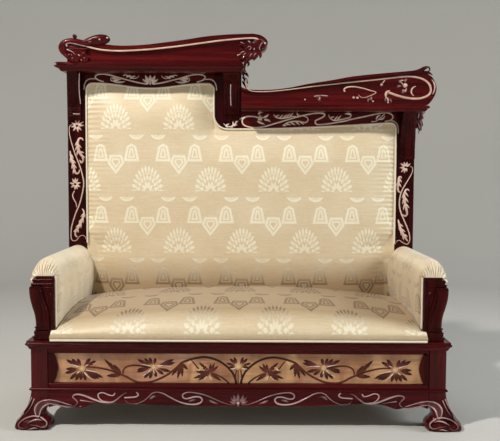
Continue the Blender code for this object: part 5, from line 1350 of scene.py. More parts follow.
flowerFace = capFront - 0.003
leftFlower = {
    "backA": ("swell", 52, 5, [(262, 45.6), (257, 49), (250, 51.4), (242, 53.6)]),
    "backB": ("swell", 50, 5, [(258, 49.4), (253, 54), (248, 58.4)]),
    "backC": ("swell", 34, 4, [(243, 45.4), (250, 44.6), (257, 45.4)]),
    "backD": ("swell", 44, 6, [(253, 44), (259, 44.6), (264.4, 46)]),
    "strokeA": ("leaf", 12, 9, [(245.4, 47.6), (242.6, 45.4), (238.8, 44.4)]),
    "strokeB": ("leaf", 12, 9, [(248.6, 46.6), (246, 43.6), (242.2, 42.2)]),
    "strokeC": ("leaf", 12, 9, [(252.4, 46.2), (250.4, 43.2), (246.8, 41.4)]),
    "strokeD": ("leaf", 11, 9, [(256.4, 46), (255.2, 43.2), (252, 41.4)]),
    "curl": ("tail", 13, 9, [(263.4, 42.6), (265, 46.6), (262.2, 50.2), (257.4, 50.8), (254.8, 48.6), (256.4, 46.6)]),
    "leafA": ("leaf", 22, 10, [(251, 50.6), (244.4, 52.4), (236.8, 56)]),
    "leafB": ("leaf", 20, 10, [(250, 52.6), (245, 56), (239.6, 60)]),
    "leafC": ("leaf", 20, 11, [(253, 52.6), (250, 57), (246.8, 62)]),
    "leafD": ("leaf", 19, 10, [(256, 52), (255.4, 56.4), (253.4, 61)]),
    "leafE": ("leaf", 17, 10, [(258.6, 51), (260.4, 54.6), (260, 58.6)]),
    "leafF": ("leaf", 14, 10, [(247, 50), (242, 49.6), (238, 51)]),
    "stem": ("tail", 16, 9, [(248, 58), (245.8, 62), (244.6, 67), (245.2, 72)]),
    "stemLeaf": ("leaf", 12, 8, [(246.4, 60.6), (248.6, 63.6), (247.4, 67)]),
}
leftFlowerBoss = {
    "ring": ("bead", 18, 8, [(249.4, 48.4)]),
}
# Pale strokes on the flower: painted highlights.
leftFlowerStrokes = {
    "ringLine": ("line", 3.4, 15, [(247.8, 48), (248.6, 46.8), (250.4, 46.8), (251, 48.2), (250, 49.6),
        (248.4, 49.4)]),
    "pearls": ("bead", 8, 15, [(254.2, 49.3), (237.9, 55.3), (243.2, 63.2)]),
    "ballGleam": ("bead", 11, 14, [(265, 43.6)]),
    "strokeA": ("leaf", 5, 14, [(240, 42.4), (242.4, 43), (244.4, 44.4)]),
    "strokeB": ("leaf", 6, 14, [(247.6, 41), (249.4, 42), (250.8, 44)]),
    "strokeC": ("leaf", 5, 14, [(252.6, 42.2), (254, 42.8), (255, 44)]),
    "petalLineA": ("leaf", 6, 15, [(245, 51.6), (242.4, 52.2), (240, 54)]),
    "petalLineB": ("leaf", 5, 15, [(246.4, 53), (244.4, 54.4), (243, 57)]),
    "petalLineC": ("leaf", 5, 15, [(252.4, 53.6), (250.6, 55.3), (249, 58)]),
    "petalLineD": ("leaf", 5, 15, [(256, 53), (254.4, 55.3), (253.6, 57.6)]),
    "curlLine": ("line", 3.4, 15, [(262.6, 42.4), (260.8, 45), (259.4, 48), (260.4, 50.6)]),
}
makePiece("left_flower", solid(leftFlower, flowerFace, 0.011) + solid(leftFlowerBoss, flowerFace - 0.003, 0.007),
          carved["x"], ["left_crest_flower"])
makePiece("left_flower_painted_glints", drawn(leftFlowerStrokes, flowerFace), paintedGlint)

# Reeds down the corbels and ribs at their feet. A corbel's front falls back from the crest as one less
# the 2.75th power of what is left of its height.
corbel = {"high": 0.212, "top": 0.204, "deep": 0.074, "power": 2.75, "reeds": (0.16, 0.36, 0.62, 0.84),
          "reedWide": 0.0055, "reedRise": 0.0026, "from": 0.030, "to": 0.150, "ribs": (0.158, 0.168, 0.180, 0.192),
          "ribWide": 0.006, "ribRise": 0.0026, "corner": 0.004, "seen": 0.262}
corbelSides = {"corbel_left": {"column": 66.3, "lean": 1.0, "top": 69, "foot": 116},
               "corbel_right": {"column": 416.5, "lean": -1.4, "top": 108, "foot": 155}}


# Depth of a corbel's front at a height.
def corbelFace(x, z, top):
    left = np.clip(1 - (top - z) / corbel["high"], 0, 1)
    return corbel["top"] + corbel["deep"] * (1 - left ** corbel["power"])


# Sides of a corbel at given heights. The outer sides stand upright in the photograph, so they're taken
# from its columns at the front's depth.
def corbelEdges(name, z):
    low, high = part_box(name)
    start, end = np.full_like(z, low.x), np.full_like(z, high.x)
    if name in corbelSides:
        side = corbelSides[name]
        down = (high.z - z) / (high.z - low.z)
        pixels = np.stack([side["column"] + side["lean"] * down, side["top"] + (side["foot"] - side["top"]) * down], 1)
        seen = onPhoto(pixels, corbelFace(0, z, high.z))[:, 0]
        if name == "corbel_left":
            start = np.maximum(start, seen)
        else:
            end = np.minimum(end, seen)
    return start, end


# A corbel's body: at each height a section with two round corners at the front.
def corbelBody(name):
    low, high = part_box(name)
    z = np.linspace(high.z, low.z, 60)
    start, end = (side[:, None] for side in corbelEdges(name, z))
    front = corbelFace(0, z, high.z)[:, None]
    turn = np.linspace(0, math.pi / 2, 6)[None, :]
    r = corbel["corner"]
    rear = np.full_like(front, high.y)
    x = np.hstack([start, start + r * (1 - np.cos(turn)), end - r * (1 - np.sin(turn)), end])
    y = np.hstack([rear, front + r * (1 - np.sin(turn)), front + r * (1 - np.cos(turn)), rear])
    return shell(np.stack([x, y, np.broadcast_to(z[:, None], x.shape)], -1))


def corbelReeds():
    c = corbel
    shells = []
    for name in ("corbel_left", "corbel_middle", "corbel_right"):
        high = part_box(name)[1]

        def face(x, z, top=high.z):
            return corbelFace(x, z, top)

        z = high.z - np.linspace(c["from"], c["to"], 12)
        start, end = corbelEdges(name, z)
        for share in c["reeds"]:
            line = np.stack([start + (end - start) * share, z], 1)
            shells.append(strand(line, c["reedWide"], c["reedRise"], face, spacing=0.004))
        for drop in c["ribs"]:
            z = np.array([high.z - drop])
            start, end = corbelEdges(name, z)
            line = [(start[0] + 0.002, z[0]), (end[0] - 0.002, z[0])]
            shells.append(strand(line, c["ribWide"], c["ribRise"], face, "bar", spacing=0.006))
    return shells


for name in corbelSides:
    makePiece(f"{name}_body", [corbelBody(name)], wood["z"], [name], crease=30)
makePiece("corbel_reeds", corbelReeds(), wood["z"])
# Pale lines down the corbels' edges and across a rib: painted highlights.
cornerGleams = {
    "left": ("line", 3.4, 2, [(79.2, 72.8), (79, 84), (79.4, 94), (80.6, 104)]),
    "middle": ("line", 4.4, 2, [(230.8, 84), (230.6, 92), (231, 106)]),
    "leftFoot": ("line", 6, 2.4, [(72.6, 113.6), (80, 113.8)]),
}
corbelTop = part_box("corbel_left")[1].z
makePiece("corbel_painted_glints", drawn(cornerGleams, lambda x, z: corbelFace(x, z, corbelTop), corbel["seen"]),
          paintedGlint)
print("crests are carved")


# Arm posts: cap mouldings, a rounded drum with a bead beside it, and rings round the plinth

postCaps = {
    "upper": ("bar", 9, 2.6, [(32.4, 280.2), (52.2, 280.2)]),
    "lower": ("bar", 10, 4.2, [(31.2, 284.4), (52.2, 284.4)]),
    "fillet": ("bar", 4, 2.2, [(36, 287.6), (52.2, 287.6)]),
    "inner": ("tail", 13, 6, [(45.6, 290), (49.6, 294.6), (50.4, 302), (49, 311), (47.4, 318)]),
    "edge": ("bar", 4, 3, [(51.4, 288.6), (51.4, 326)]),
    "ringHigh": ("bar", 7, 3.4, [(34.8, 327.4), (52.2, 327.4)]),
    "ringMiddle": ("bar", 7, 2.8, [(34.2, 332), (52.2, 332)]),
    "ringLow": ("bar", 9, 4.2, [(33.0, 337.2), (52.2, 337.2)]),
}
postDrum = {
    "drum": ("bar", 41, 8, [(34.2, 288.6), (34.9, 296), (36.8, 304), (39.4, 312), (40.8, 319), (41.2, 326)]),
    "bead": ("line", 6, 3.4, [(41.4, 290), (42.4, 297), (44.8, 305), (47.2, 313), (48, 321)]),
}
makePiece("arm_post_carving", drawn(postCaps, arm["postFront"], mirror=0.0)
          + drawn(postDrum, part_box("arm_post_left")[0].y, mirror=0.0), wood["z"])


# Front legs and apron: the solid's own curve on a fine grid, with carved straps and scrolls

leg = {
    "toe": 0.014, "flare": 0.065, "forward": 0.036,
    "roundTop": 0.003, "roundFoot": 0.030,
    "sections": ((0.00, -0.64, 0.92), (0.07, -1.00, 1.00), (0.19, -0.50, 0.85), (0.30, 0.36, 0.65),
                 (0.42, 0.86, 0.48), (0.54, 0.50, 0.32), (0.68, 0.0, 0.17), (0.84, 0.0, 0.05), (1.00, 0.0, 0.0)),
    "roll": 0.0035, "rollAt": 0.026, "rollDeep": 0.011,
    "throat": 0.0025, "throatAt": 0.056, "throatDeep": 0.007,
    "strapRise": 0.0058, "strapSink": 0.013, "toeUp": 0.03,
}
legCurve = flow([(waist * up, tuck, out) for up, tuck, out in leg["sections"]], 8)
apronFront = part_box("front_apron")[0].y


# Depth of a front leg's face at a height.
def legFace(z):
    return baseFront - leg["forward"] * np.interp(z, legCurve[:, 0], legCurve[:, 2])


# Front of the base: the apron's plane, and outside it the legs' faces.
def baseFace(x, z):
    onLeg = np.clip((np.abs(x) - (baseHalf - postSide) + 0.003) / 0.008, 0, 1)
    return apronFront + (legFace(z) - apronFront) * onLeg


# A front leg: square sections with rounded corners, whose edges follow the curve's share of the toe
# and the flare. Near the floor each section swells and narrows as two bells of height.
def frontLeg(side):
    z = np.concatenate([np.linspace(0, waist, 90), np.linspace(waist, railTop - gap, 24)[1:]])
    tuck, out = (np.interp(z, legCurve[:, 0], legCurve[:, k]) for k in (1, 2))
    inner = baseHalf - postSide + leg["toe"] * tuck
    outer = baseHalf + leg["flare"] * out
    front = baseFront - leg["forward"] * out
    back = baseFront + postSide + (baseHalf - postSide - inner)
    radius = leg["roundTop"] + (leg["roundFoot"] - leg["roundTop"]) * out
    halfX, halfY = (outer - inner) / 2 - radius, (back - front) / 2 - radius
    turn = circle(72) + math.pi / 4
    east, north = np.cos(turn), np.sin(turn)
    swell = (leg["roll"] * np.exp(-((z - leg["rollAt"]) / leg["rollDeep"]) ** 2)
             - leg["throat"] * np.exp(-((z - leg["throatAt"]) / leg["throatDeep"]) ** 2))[:, None]
    flatX = np.clip(east * 1.45, -1, 1) * halfX[:, None] + (radius[:, None] + swell) * east
    flatY = np.clip(north * 1.45, -1, 1) * halfY[:, None] + (radius[:, None] + swell * (north < 0)) * north
    x = side * ((inner + outer)[:, None] / 2 + flatX)
    y = (front + back)[:, None] / 2 + flatY
    grid = np.stack([x, y, np.broadcast_to(z[:, None], x.shape)], -1)
    return shell(grid, shade=0 * x, ridge=0 * x)


# A carved strap between two lines: across it lies a hollow between two beads, with rounded shoulders,
# and it thins where the lines meet.
def strap(lines, rise, sink, face):
    edges = []
    for path in map(flow, lines):
        edges.append(placesAt(path, np.linspace(0, walked(path)[-1], 110)))
    t = np.linspace(-1, 1, 19)[None, :, None]
    flat = (edges[0] + edges[1])[:, None] / 2 + (edges[1] - edges[0])[:, None] / 2 * t
    x, z = flat[..., 0], flat[..., 1]
    high = rise * np.clip(np.linalg.norm(edges[1] - edges[0], axis=1) / 0.012, 0.2, 1)[:, None]
    t = t[..., 0]
    lift = high * (0.40 * np.sqrt(1 - t ** 4) + 0.60 * np.exp(-((np.abs(t) - 0.70) / 0.17) ** 2))
    depth = face(x, z)
    front = np.stack([x, depth - lift, z], -1)
    rear = np.stack([x, depth + sink * np.sqrt(np.clip(1 - 0.5 * t ** 4, 0, 1)), z], -1)[:, ::-1]
    # ridge marks where the strap's beads are painted pale: wear and a painted highlight
    ridge = np.concatenate([(lift / high) ** 3, 0 * x], 1)
    return shell(np.concatenate([front, rear], 1), shade=0 * ridge, ridge=ridge)


footStrap = {
    "outer": [(404.0, 407.4), (406, 406), (411.5, 404.2), (417.2, 402.3), (424.2, 400.9), (430.6, 400.4),
        (435.4, 401.3), (439.4, 403.6), (442, 407), (442.4, 410.4), (441, 414), (439.2, 416.6), (437, 418.8)],
    "inner": [(404.2, 408.6), (409.5, 409.2), (414.6, 408.4), (421, 407), (426.8, 406.2), (430.4, 407.3), (433, 410),
        (434.4, 413), (435.4, 416), (436.4, 418.9)],
}
footScroll = {
    "rim": ("tail", 8, 4.2, [(437, 418.6), (443.3, 418.3), (448.4, 419.3), (452.9, 421.3), (456, 423.6),
        (457.6, 426.2), (456.1, 428.6), (452.9, 429.4), (450.2, 428.4), (448.8, 426.6)]),
    "rimInner": ("tail", 8, 4.0, [(437, 418.8), (433.4, 420.8), (430.4, 422.9), (429.4, 425.2), (431, 427.6),
        (434.4, 428.1), (438.4, 427.1), (442.4, 426.5), (446.5, 426)]),
    "middle": ("swell", 7, 3.4, [(433.6, 422.6), (437.6, 421.4), (442, 421.7), (446.5, 423.4), (449.4, 425.6)]),
    "low": ("swell", 6, 3.0, [(438, 429.4), (441.6, 429), (445.4, 430), (448.6, 430.4)]),
    "fluteA": ("tail", 5, 1.6, [(444, 402), (446.4, 408), (449.4, 413.6), (453, 418)]),
    "fluteB": ("tail", 5, 1.6, [(446.6, 400.6), (449, 406.6), (452.4, 412.6), (456.4, 418)]),
}
apronScroll = {
    "hook": ("swell", 10, 6.0, [(72.4, 406.6), (75.8, 405), (77.6, 402.4), (75.6, 399.4), (73, 397), (74.4, 394.8),
        (79, 394.2), (86, 396), (94, 399.2), (103, 402), (112, 402), (118, 398.4), (123, 394.2), (127.4, 392.4)]),
    "hookUnder": ("whip", 7, 4.0, [(103, 402.8), (95, 402.2), (88, 401.2), (80, 400)]),
    "loop": ("line", 7, 4.6, [(112, 402.4), (103, 401), (98.6, 397), (98.8, 393.6), (103, 392.4), (108, 394.4),
        (113, 395.4), (115.4, 392.6)]),
    "knobArm": ("line", 7.5, 4.8, [(124, 397.6), (130, 397.2), (136, 396.6), (138.4, 394.4), (136, 391.8)]),
    "long": ("swell", 8.5, 5.4, [(125, 399.6), (128, 402.6), (135, 403.8), (143, 401), (149, 396.4), (152, 393.4),
        (157, 391.8), (163, 393.2), (170, 397), (178, 401), (186, 403.6), (194, 404.2), (200, 402.8), (202.2, 399.6),
        (200, 397), (195, 396.6), (188, 398.4), (184, 398), (182.6, 395.2), (185, 392.8), (190, 391.9), (198, 393.1),
        (206, 395.2), (215, 399), (224, 402.8), (231, 404.6), (236, 404.4)]),
    "midLeaf": ("leaf", 10, 4.2, [(149, 399.6), (153.4, 396.4), (158, 396.4)]),
    "innerLeaf": ("leaf", 9, 4.0, [(188, 401.4), (193, 400), (197.6, 399.4)]),
    "underLeaf": ("leaf", 9, 3.8, [(208, 399.6), (214, 402.4), (220, 404.4)]),
}
apronMiddle = {
    "heart": ("bead", 15, 5.0, [(238.1, 403)]),
    "leafUp": ("leaf", 14, 5.5, [(238.1, 402.6), (238.1, 397.6), (238.1, 391.8)]),
    "leafLow": ("leaf", 10, 4.0, [(238.1, 403.6), (238.1, 405.4), (238.1, 407.4)]),
}
apronFan = {
    "leafA": ("leaf", 12, 5.0, [(237.4, 402.6), (234.6, 398), (233.4, 393)]),
    "leafB": ("leaf", 11, 4.6, [(236.8, 403), (232.6, 399.6), (229.6, 396)]),
    "leafC": ("leaf", 10, 4.2, [(236.6, 403.6), (232, 402.4), (228.4, 400.2)]),
}


apronEdge = {"deep": 0.057, "droop": 0.008,
             "wave": ((0, 0), (0.34, 0.25), (0.55, 1.0), (0.70, 1.63), (0.77, 0.75), (0.83, -1.0),
                      (0.87, -0.38), (0.925, 0.38), (0.965, 0.13), (1.0, -0.88))}


# Line of the apron's lower edge, with its cusps, as the solid has it.
def edgeBead():
    half = baseHalf - postSide - gap
    low = waist - apronEdge["deep"]
    right = flow([(half * along, low + apronEdge["droop"] * up + 0.003) for along, up in apronEdge["wave"]], 8)
    return np.vstack([right[::-1] * (-1, 1), right[1:]]) - (0, 0.0035)


for side, word in hands:
    shells = [frontLeg(side)]
    strapLines = [onPhoto(line, baseFront) * (side, 1) for line in footStrap.values()]
    shells.append(strap(strapLines, leg["strapRise"], leg["strapSink"], baseFace))
    toeDepth = legFace(leg["toeUp"])
    for shape, wide, rise, pixels in footScroll.values():
        at = onPhoto(pixels, toeDepth) * (side, 1)
        shells.append(strand(at, wide / 1000, rise / 1000, lambda x, z: legFace(z) - 0.002, shape, sink=0.006))
    makePiece(f"scroll_leg_{word}", shells, carved["z"], [f"front_leg_{word}"])

makePiece("apron_carving", drawn({**apronScroll, **apronFan}, baseFace, apronFront, mirror=0.0)
          + drawn(apronMiddle, baseFace, apronFront)
          + [strand(edgeBead()[::3], 0.009, 0.003, apronFront, "line", sink=0.012, wearAndHighlight=0.0)],
          carved["x"])
print("legs and apron are carved")


# Marquetry on the front panel

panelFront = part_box("inlaid_panel")[0].y

goldFinish = {"light": (0.62, 0.35, 0.165), "dark": (0.36, 0.145, 0.060), "rose": (0.62, 0.31, 0.21),
              "grain": (4, 60, 60), "figure": (9, 3, 5), "patches": (3, 1, 7), "rough": 0.30, "coat": 0.4}


def goldVeneer():
    made, tree, shader = newMaterial("golden_veneer")
    grain = noise(tree, objectPoint(tree, goldFinish["grain"]), 1.0, 5.0, 0.6, 0.6)
    cloud = noise(tree, objectPoint(tree, goldFinish["figure"]), 1.0, 3.0, 0.55, 0.8)
    colour = blendColour(tree, spread(tree, cloud, 0.35, 0.68), goldFinish["dark"], goldFinish["light"])
    patches = noise(tree, objectPoint(tree, goldFinish["patches"]), 1.0, 2.0, 0.5, 0.3)
    colour = blendColour(tree, spread(tree, patches, 0.5, 0.8), colour, goldFinish["rose"])
    streak = ramp(tree, grain, ((0.30, (0.66, 0.60, 0.52)), (0.50, (1.0, 1.0, 1.0)), (0.72, (1.14, 1.1, 1.04))))
    colour = shaded(tree, colour, streak)
    tree.links.new(colour, shader.inputs["Base Color"])
    setSockets(shader, {"Roughness": goldFinish["rough"], "Coat Weight": goldFinish["coat"], "Coat Roughness": 0.14})
    relief(tree, shader, grain, 0.12, 0.0003)
    return made


darkFans = {
    "endFlower": ("petal", 15, 0.5, 0.20, (82, 368.6), [(65.4, 369), (64.6, 373.4), (69.6, 379.6), (75.4, 380.8),
        (80.6, 380.4), (86, 380.8), (96.4, 379.4), (103.4, 377.8), (99.6, 379)]),
    "leafGroup": ("saw", 21, 0.5, 0.02, (121, 375), [(103.8, 358.8), (114, 364.4), (106.4, 375.8)]),
    "second": ("petal", 15, 0.5, 0.20, (153.6, 367.2), [(136.4, 372), (136.8, 369.8), (144, 378.4), (149.6, 379),
        (156.4, 377.6), (164, 374.6), (170.8, 371.6)]),
    "lowCluster": ("saw", 17, 0.5, 0.04, (181.4, 363), [(171.4, 376), (177.4, 378.8), (182.4, 377), (187.8, 369.8)]),
    "inner": ("saw", 17, 0.5, 0.04, (210, 373), [(198.8, 362), (193, 378.4), (195.4, 371.6), (198, 380.4),
        (221.6, 381)]),
    "middle": ("petal", 12, 0.5, 0.20, (238.1, 366.4), [(226.2, 363), (228.4, 367.6)]),
}
purpleFans = {
    "endFlower": ("petal", 16, 0.5, 0.20, (82, 368.6), [(66, 359.4), (71.4, 358.6), (77.4, 358.4), (90.6, 358),
        (96.2, 360.6)]),
    "second": ("petal", 15, 0.5, 0.20, (153.6, 367.2), [(137, 359.2), (144, 358.2), (149.4, 357.4), (155.6, 357.6),
        (174.6, 359.2), (175.6, 362.4)]),
    "inner": ("saw", 15, 0.5, 0.04, (210, 373), [(210.6, 363.6), (214.6, 363), (218.6, 365.6)]),
    "middle": ("petal", 13, 0.5, 0.20, (238.1, 366.4), [(229.6, 358.4), (234, 357)]),
}
darkStems = {
    "end": ("line", 7.2, 0.4, [(86, 367), (97, 367.5), (108, 369.8), (115, 372), (121, 375)]),
    "main": ("line", 8.8, 0.4, [(120, 374), (127, 377), (133, 380.4), (140, 382.4), (150, 382), (160, 378.6),
        (170, 373), (178, 366.4), (182, 362.6), (190, 359.6), (197, 357.9), (204, 357.1), (212, 358.3), (220, 361.6),
        (227, 366.6), (232, 372), (235, 378), (236.4, 383.6)]),
    "loop": ("line", 7.0, 0.4, [(123, 374), (123.5, 370), (127, 366.6), (134, 365.2), (142, 366), (151, 367.4)]),
    "bud": ("line", 6.6, 0.4, [(211, 373.4), (215, 374), (221, 377), (226, 380.4), (229.4, 383.8)]),
    "twig": ("line", 5.6, 0.4, [(190, 359.8), (194, 363), (197, 367), (199.4, 369)]),
    "flank": ("line", 6.0, 0.4, [(236.6, 369.6), (235.6, 376), (235.4, 383.8)]),
}
paleLines = {
    "endA": ("blade", 5, 0.6, [(79.4, 367), (73.6, 365), (68.4, 363.6)]),
    "endB": ("blade", 5, 0.6, [(80, 371), (74.4, 375), (70.6, 376.4)]),
    "endC": ("blade", 5, 0.6, [(83.4, 372), (88.6, 377), (93.4, 380.4)]),
    "endD": ("blade", 5, 0.6, [(85.4, 369.8), (93, 371.4), (101, 372.8)]),
    "endE": ("blade", 4, 0.6, [(84.6, 366.4), (89.6, 364.4), (97.4, 363.2)]),
    "secondA": ("blade", 5, 0.6, [(151, 366.4), (144.6, 364.6), (140.4, 364)]),
    "secondB": ("blade", 5, 0.6, [(156.4, 366), (164, 365.6), (172.4, 366.8)]),
    "secondC": ("blade", 5, 0.6, [(153.6, 370), (155, 375), (158.4, 379)]),
    "secondD": ("blade", 5, 0.6, [(151.6, 369), (147, 373.4), (141, 376.6)]),
    "innerA": ("blade", 4, 0.6, [(208.6, 371.4), (203.4, 367.6), (199.4, 366.6)]),
    "innerB": ("blade", 4, 0.6, [(208, 375), (204, 379), (202.4, 381.6)]),
    "middleA": ("blade", 4, 0.6, [(235.8, 368), (231.6, 369), (226.6, 368)]),
}
creamHearts = {
    "end": ("bead", 25, 0.9, [(82, 368.6)]),
    "second": ("bead", 22, 0.9, [(153.6, 367.2)]),
    "bud": ("drop", 12, 0.8, [(208.6, 375.4), (210.4, 378), (212, 381)]),
    "rose": ("drop", 12, 0.7, [(187.4, 365), (189.4, 362.6), (192.4, 361)]),
    "roseB": ("drop", 10, 0.7, [(198, 371), (200.6, 368.6), (203, 367.6)]),
}
middleHeart = {"heart": ("bead", 28, 0.9, [(238.1, 366.4)])}
middleStem = {"stem": ("line", 4.4, 0.4, [(238.1, 370), (238.1, 377), (238.1, 383.8)])}

finishNode("inlaid_panel", goldVeneer(), 0.0006, 2, 40)
makePiece("marquetry_leaves", drawn({**fan(darkFans), **darkStems}, panelFront, mirror=0.0)
          + drawn(middleStem, panelFront), oliveLeaf)
makePiece("marquetry_petals", drawn(fan(purpleFans), panelFront, mirror=0.0), purpleLeaf)
makePiece("marquetry_edges", drawn(paleLines, panelFront, mirror=0.0), holly)
makePiece("marquetry_hearts", drawn(creamHearts, panelFront, mirror=0.0)
          + drawn(middleHeart, panelFront), creamWood)
print("front panel is inlaid")


# Brackets beside the stiles, and the finial

# Depth of the middle of a CAD node.
def midDepth(name):
    return sum(corner.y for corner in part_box(name)) / 2

hangingLeaves = {
    "leaf_bracket_right": {
        "stem": ("tail", 11, 7, [(418.6, 109.4), (417.6, 114), (418, 120), (419.4, 127), (418.6, 134)]),
        "forkA": ("whip", 8, 7, [(418, 121), (418.6, 115), (421.4, 110)]),
        "forkB": ("drop", 11, 8, [(421, 118), (422.4, 114), (425.6, 110)]),
        "leafA": ("leaf", 14, 8, [(417.6, 112), (421, 115), (423.6, 119.4)]),
        "leafB": ("leaf", 14, 8, [(417.4, 117), (420.6, 121), (423, 126.4)]),
        "leafC": ("leaf", 13, 8, [(417.4, 122), (420, 126), (421.4, 131)]),
        "leafD": ("leaf", 11, 7, [(416.8, 118), (416.6, 124), (418.4, 129)]),
        "heartwood": ("swell", 24, 5, [(420, 110.4), (419.8, 117), (419.6, 124), (419.4, 131)]),
        "root": ("tail", 20, 4, [(417.2, 109.4), (417, 115), (416.8, 121), (416.4, 129)]),
    },
    "leaf_bracket_middle": {
        "stem": ("tail", 11, 7, [(243, 70.4), (243.6, 76), (245, 82), (247.6, 87.6)]),
        "leafA": ("leaf", 14, 8, [(242.4, 72.6), (246, 73.6), (248.8, 77.4)]),
        "leafB": ("leaf", 14, 8, [(242, 77), (245.6, 79.4), (248, 84.4)]),
        "leafC": ("leaf", 12, 7, [(242, 81), (244.6, 84.4), (246.4, 89)]),
        "leafD": ("leaf", 10, 6, [(241.6, 70.6), (243.4, 72), (246.8, 71)]),
    },
}
# Pale strokes on the hanging leaves: painted highlights.
hangingStrokes = {
    "leaf_bracket_right": {
        "strokeA": ("leaf", 7, 10, [(424.6, 110), (423, 113), (421, 117)]),
        "strokeB": ("leaf", 7, 10, [(419.6, 111.4), (418.4, 115.4), (418.6, 119.4)]),
        "strokeC": ("leaf", 6, 10, [(419, 119.4), (421, 123.4), (422, 127)]),
        "strokeD": ("leaf", 6, 10, [(417.8, 122), (419, 127), (420.4, 131)]),
        "dots": ("bead", 6, 11, [(421.4, 120.4), (418.8, 133), (417.6, 117.4)]),
    },
    "leaf_bracket_middle": {
        "strokeA": ("leaf", 6, 10, [(243, 71.6), (245.4, 72.4), (247.6, 74.8)]),
        "strokeB": ("leaf", 6, 10, [(242.8, 75.6), (244.8, 77.6), (246.8, 81.4)]),
        "strokeC": ("leaf", 6, 10, [(243.4, 80), (245, 83), (246.6, 86.6)]),
    },
}
bracketMiddle = midDepth("leaf_bracket_right")
for name, items in hangingLeaves.items():
    made = name.replace("leaf_bracket", "hanging_leaf")
    makePiece(made, solid(items, bracketMiddle, 0.008), carved["z"], [name])
    # each leaf's pale strokes are painted highlights
    makePiece(f"{made}_edges", drawn(hangingStrokes[name], bracketMiddle), paintedGlint)

finial = {
    "stalk": ("line", 15, 9, [(394, 75.2), (402, 74.2), (410, 72.9), (417, 71.2), (422, 69.2), (425, 67.2)]),
    "stalkUnder": ("leaf", 15, 8, [(408, 74.4), (418, 73.6), (428, 73.8)]),
    "curl": ("tail", 13, 8, [(418, 72), (423, 70.4), (426, 67.4), (429, 67.4), (429.6, 70.4), (427, 71.6)]),
    "flick": ("leaf", 12, 7, [(422, 72.2), (428, 72.4), (433, 75.4)]),
    "bead": ("bead", 16, 9, [(425.6, 67.6)]),
}
finialMiddle = midDepth("right_crest_finial")
makePiece("crest_finial", solid(finial, finialMiddle, 0.009), carved["x"], ["right_crest_finial"])
print("brackets and finial are carved")


# Rear cover of the back, tacked round its edge

cover = {"soft": 0.0010, "round": 0.0016, "tackEvery": 0.027, "tackInset": 0.011, "tackRadius": 0.0048}
coverFront, coverRear = (corner.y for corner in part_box("back_cover"))


# Outer face of the cover: flat, with slow waves.
def coverFace(x, z):
    return coverRear - cover["round"] + cover["soft"] * np.sin(9 * x + 1) * np.sin(6 * z)


liningSizes = {"light": (0.50, 0.41, 0.28), "dark": (0.37, 0.29, 0.185)}


def liningCloth():
    made, tree, shader = newMaterial("lining_cloth")
    warp = noise(tree, objectPoint(tree, (1400, 60, 60)), 1.0, 2.0, 0.5, 0.0)
    weft = noise(tree, objectPoint(tree, (60, 60, 1400)), 1.0, 2.0, 0.5, 0.0)
    weave = times(tree, plus(tree, warp, weft), 0.5)
    cloud = noise(tree, objectPoint(tree, (4, 4, 4)), 1.0, 3.0, 0.5, 0.3)
    colour = blendColour(tree, spread(tree, plus(tree, weave, times(tree, cloud, 0.2)), 0.4, 0.8),
                         liningSizes["dark"], liningSizes["light"])
    tree.links.new(colour, shader.inputs["Base Color"])
    setSockets(shader, {"Roughness": 0.92, "Sheen Weight": 0.25})
    relief(tree, shader, weave, 0.35, 0.0006)
    return made


def backCover():
    at, faces = openingSheet(topEdges(gap), np.linspace(0, 1, 46), np.linspace(0, 1, 22),
                             lambda x, z: np.full_like(x, coverFront), coverFace)
    return {"at": at, "faces": faces, "values": {"shade": 0 * at[:, 0]}}


def tackPlaces():
    inset = cover["tackInset"]
    edge = openingLine(inset, opening["sill"] + inset)
    edge = np.vstack([edge, edge[:1]])
    return placesAt(edge, np.arange(0, walked(edge)[-1], cover["tackEvery"]))


def springSteel():
    made, tree, shader = newMaterial("spring_steel")
    shader.inputs["Metallic"].default_value = 1.0
    patina = noise(tree, objectPoint(tree, (260, 260, 260)), 1.0, 3.0, 0.6, 0.4)
    colour = ramp(tree, patina, ((0.35, (0.26, 0.23, 0.20)), (0.65, (0.50, 0.49, 0.47))))
    tree.links.new(colour, shader.inputs["Base Color"])
    tree.links.new(plus(tree, times(tree, patina, 0.3), 0.25), shader.inputs["Roughness"])
    return made


steelWire = springSteel()
lining = liningCloth()
makePiece("rear_lining", [backCover()], lining, ["back_cover"])

# Slips that close the crests' tops between cap and end board, flush with the boards' edges, and a strip
# of lining over the slot between the rear rail and the sill. Each is a section carried between two lines.
slips = {
    "left_crest_slip": {"near": 0.2224, "far": 0.3236, "over": [(-0.7146, 1.5628), (-0.6718, 1.5584)],
                        "under": [(-0.7136, 1.5538), (-0.6718, 1.5494)], "material": wood["x"], "slot": "mahogany"},
    "right_crest_slip": {"near": 0.2224, "far": 0.3236,
                         "over": [(0.7790, 1.4446), (0.7908, 1.4464), (0.8310, 1.4427), (0.8526, 1.4275)],
                         "under": [(0.7790, 1.4356), (0.7908, 1.4374), (0.8270, 1.4340), (0.8439, 1.4224)],
                         "material": wood["x"], "slot": "mahogany"},
    "rear_slot_cloth": {"near": 0.300, "far": 0.304, "over": [(-0.710, 0.3697), (0.710, 0.3697)],
                        "under": [(-0.710, 0.3453), (0.710, 0.3453)], "material": lining, "slot": "damask"},
}
for name, slip in slips.items():
    corners = [("over", "near"), ("over", "far"), ("under", "far"), ("under", "near")]
    lines = [[(x, slip[side], z) for x, z in slip[edge]] for edge, side in corners]
    makePiece(name, [shell(np.stack([np.array(line) for line in lines], 1))], slip["material"],
              crease=20)
makePiece("lining_tacks", [dome(one, cover["tackRadius"], -0.0026, coverRear, sink=-0.002) for one in tackPlaces()],
          steelWire)
for name in ("spring_row_front", "spring_row_rear"):
    finishNode(name, steelWire, 0.0, 1, 40)
print("rear is lined")


# Webbing: jute straps woven over and under each other

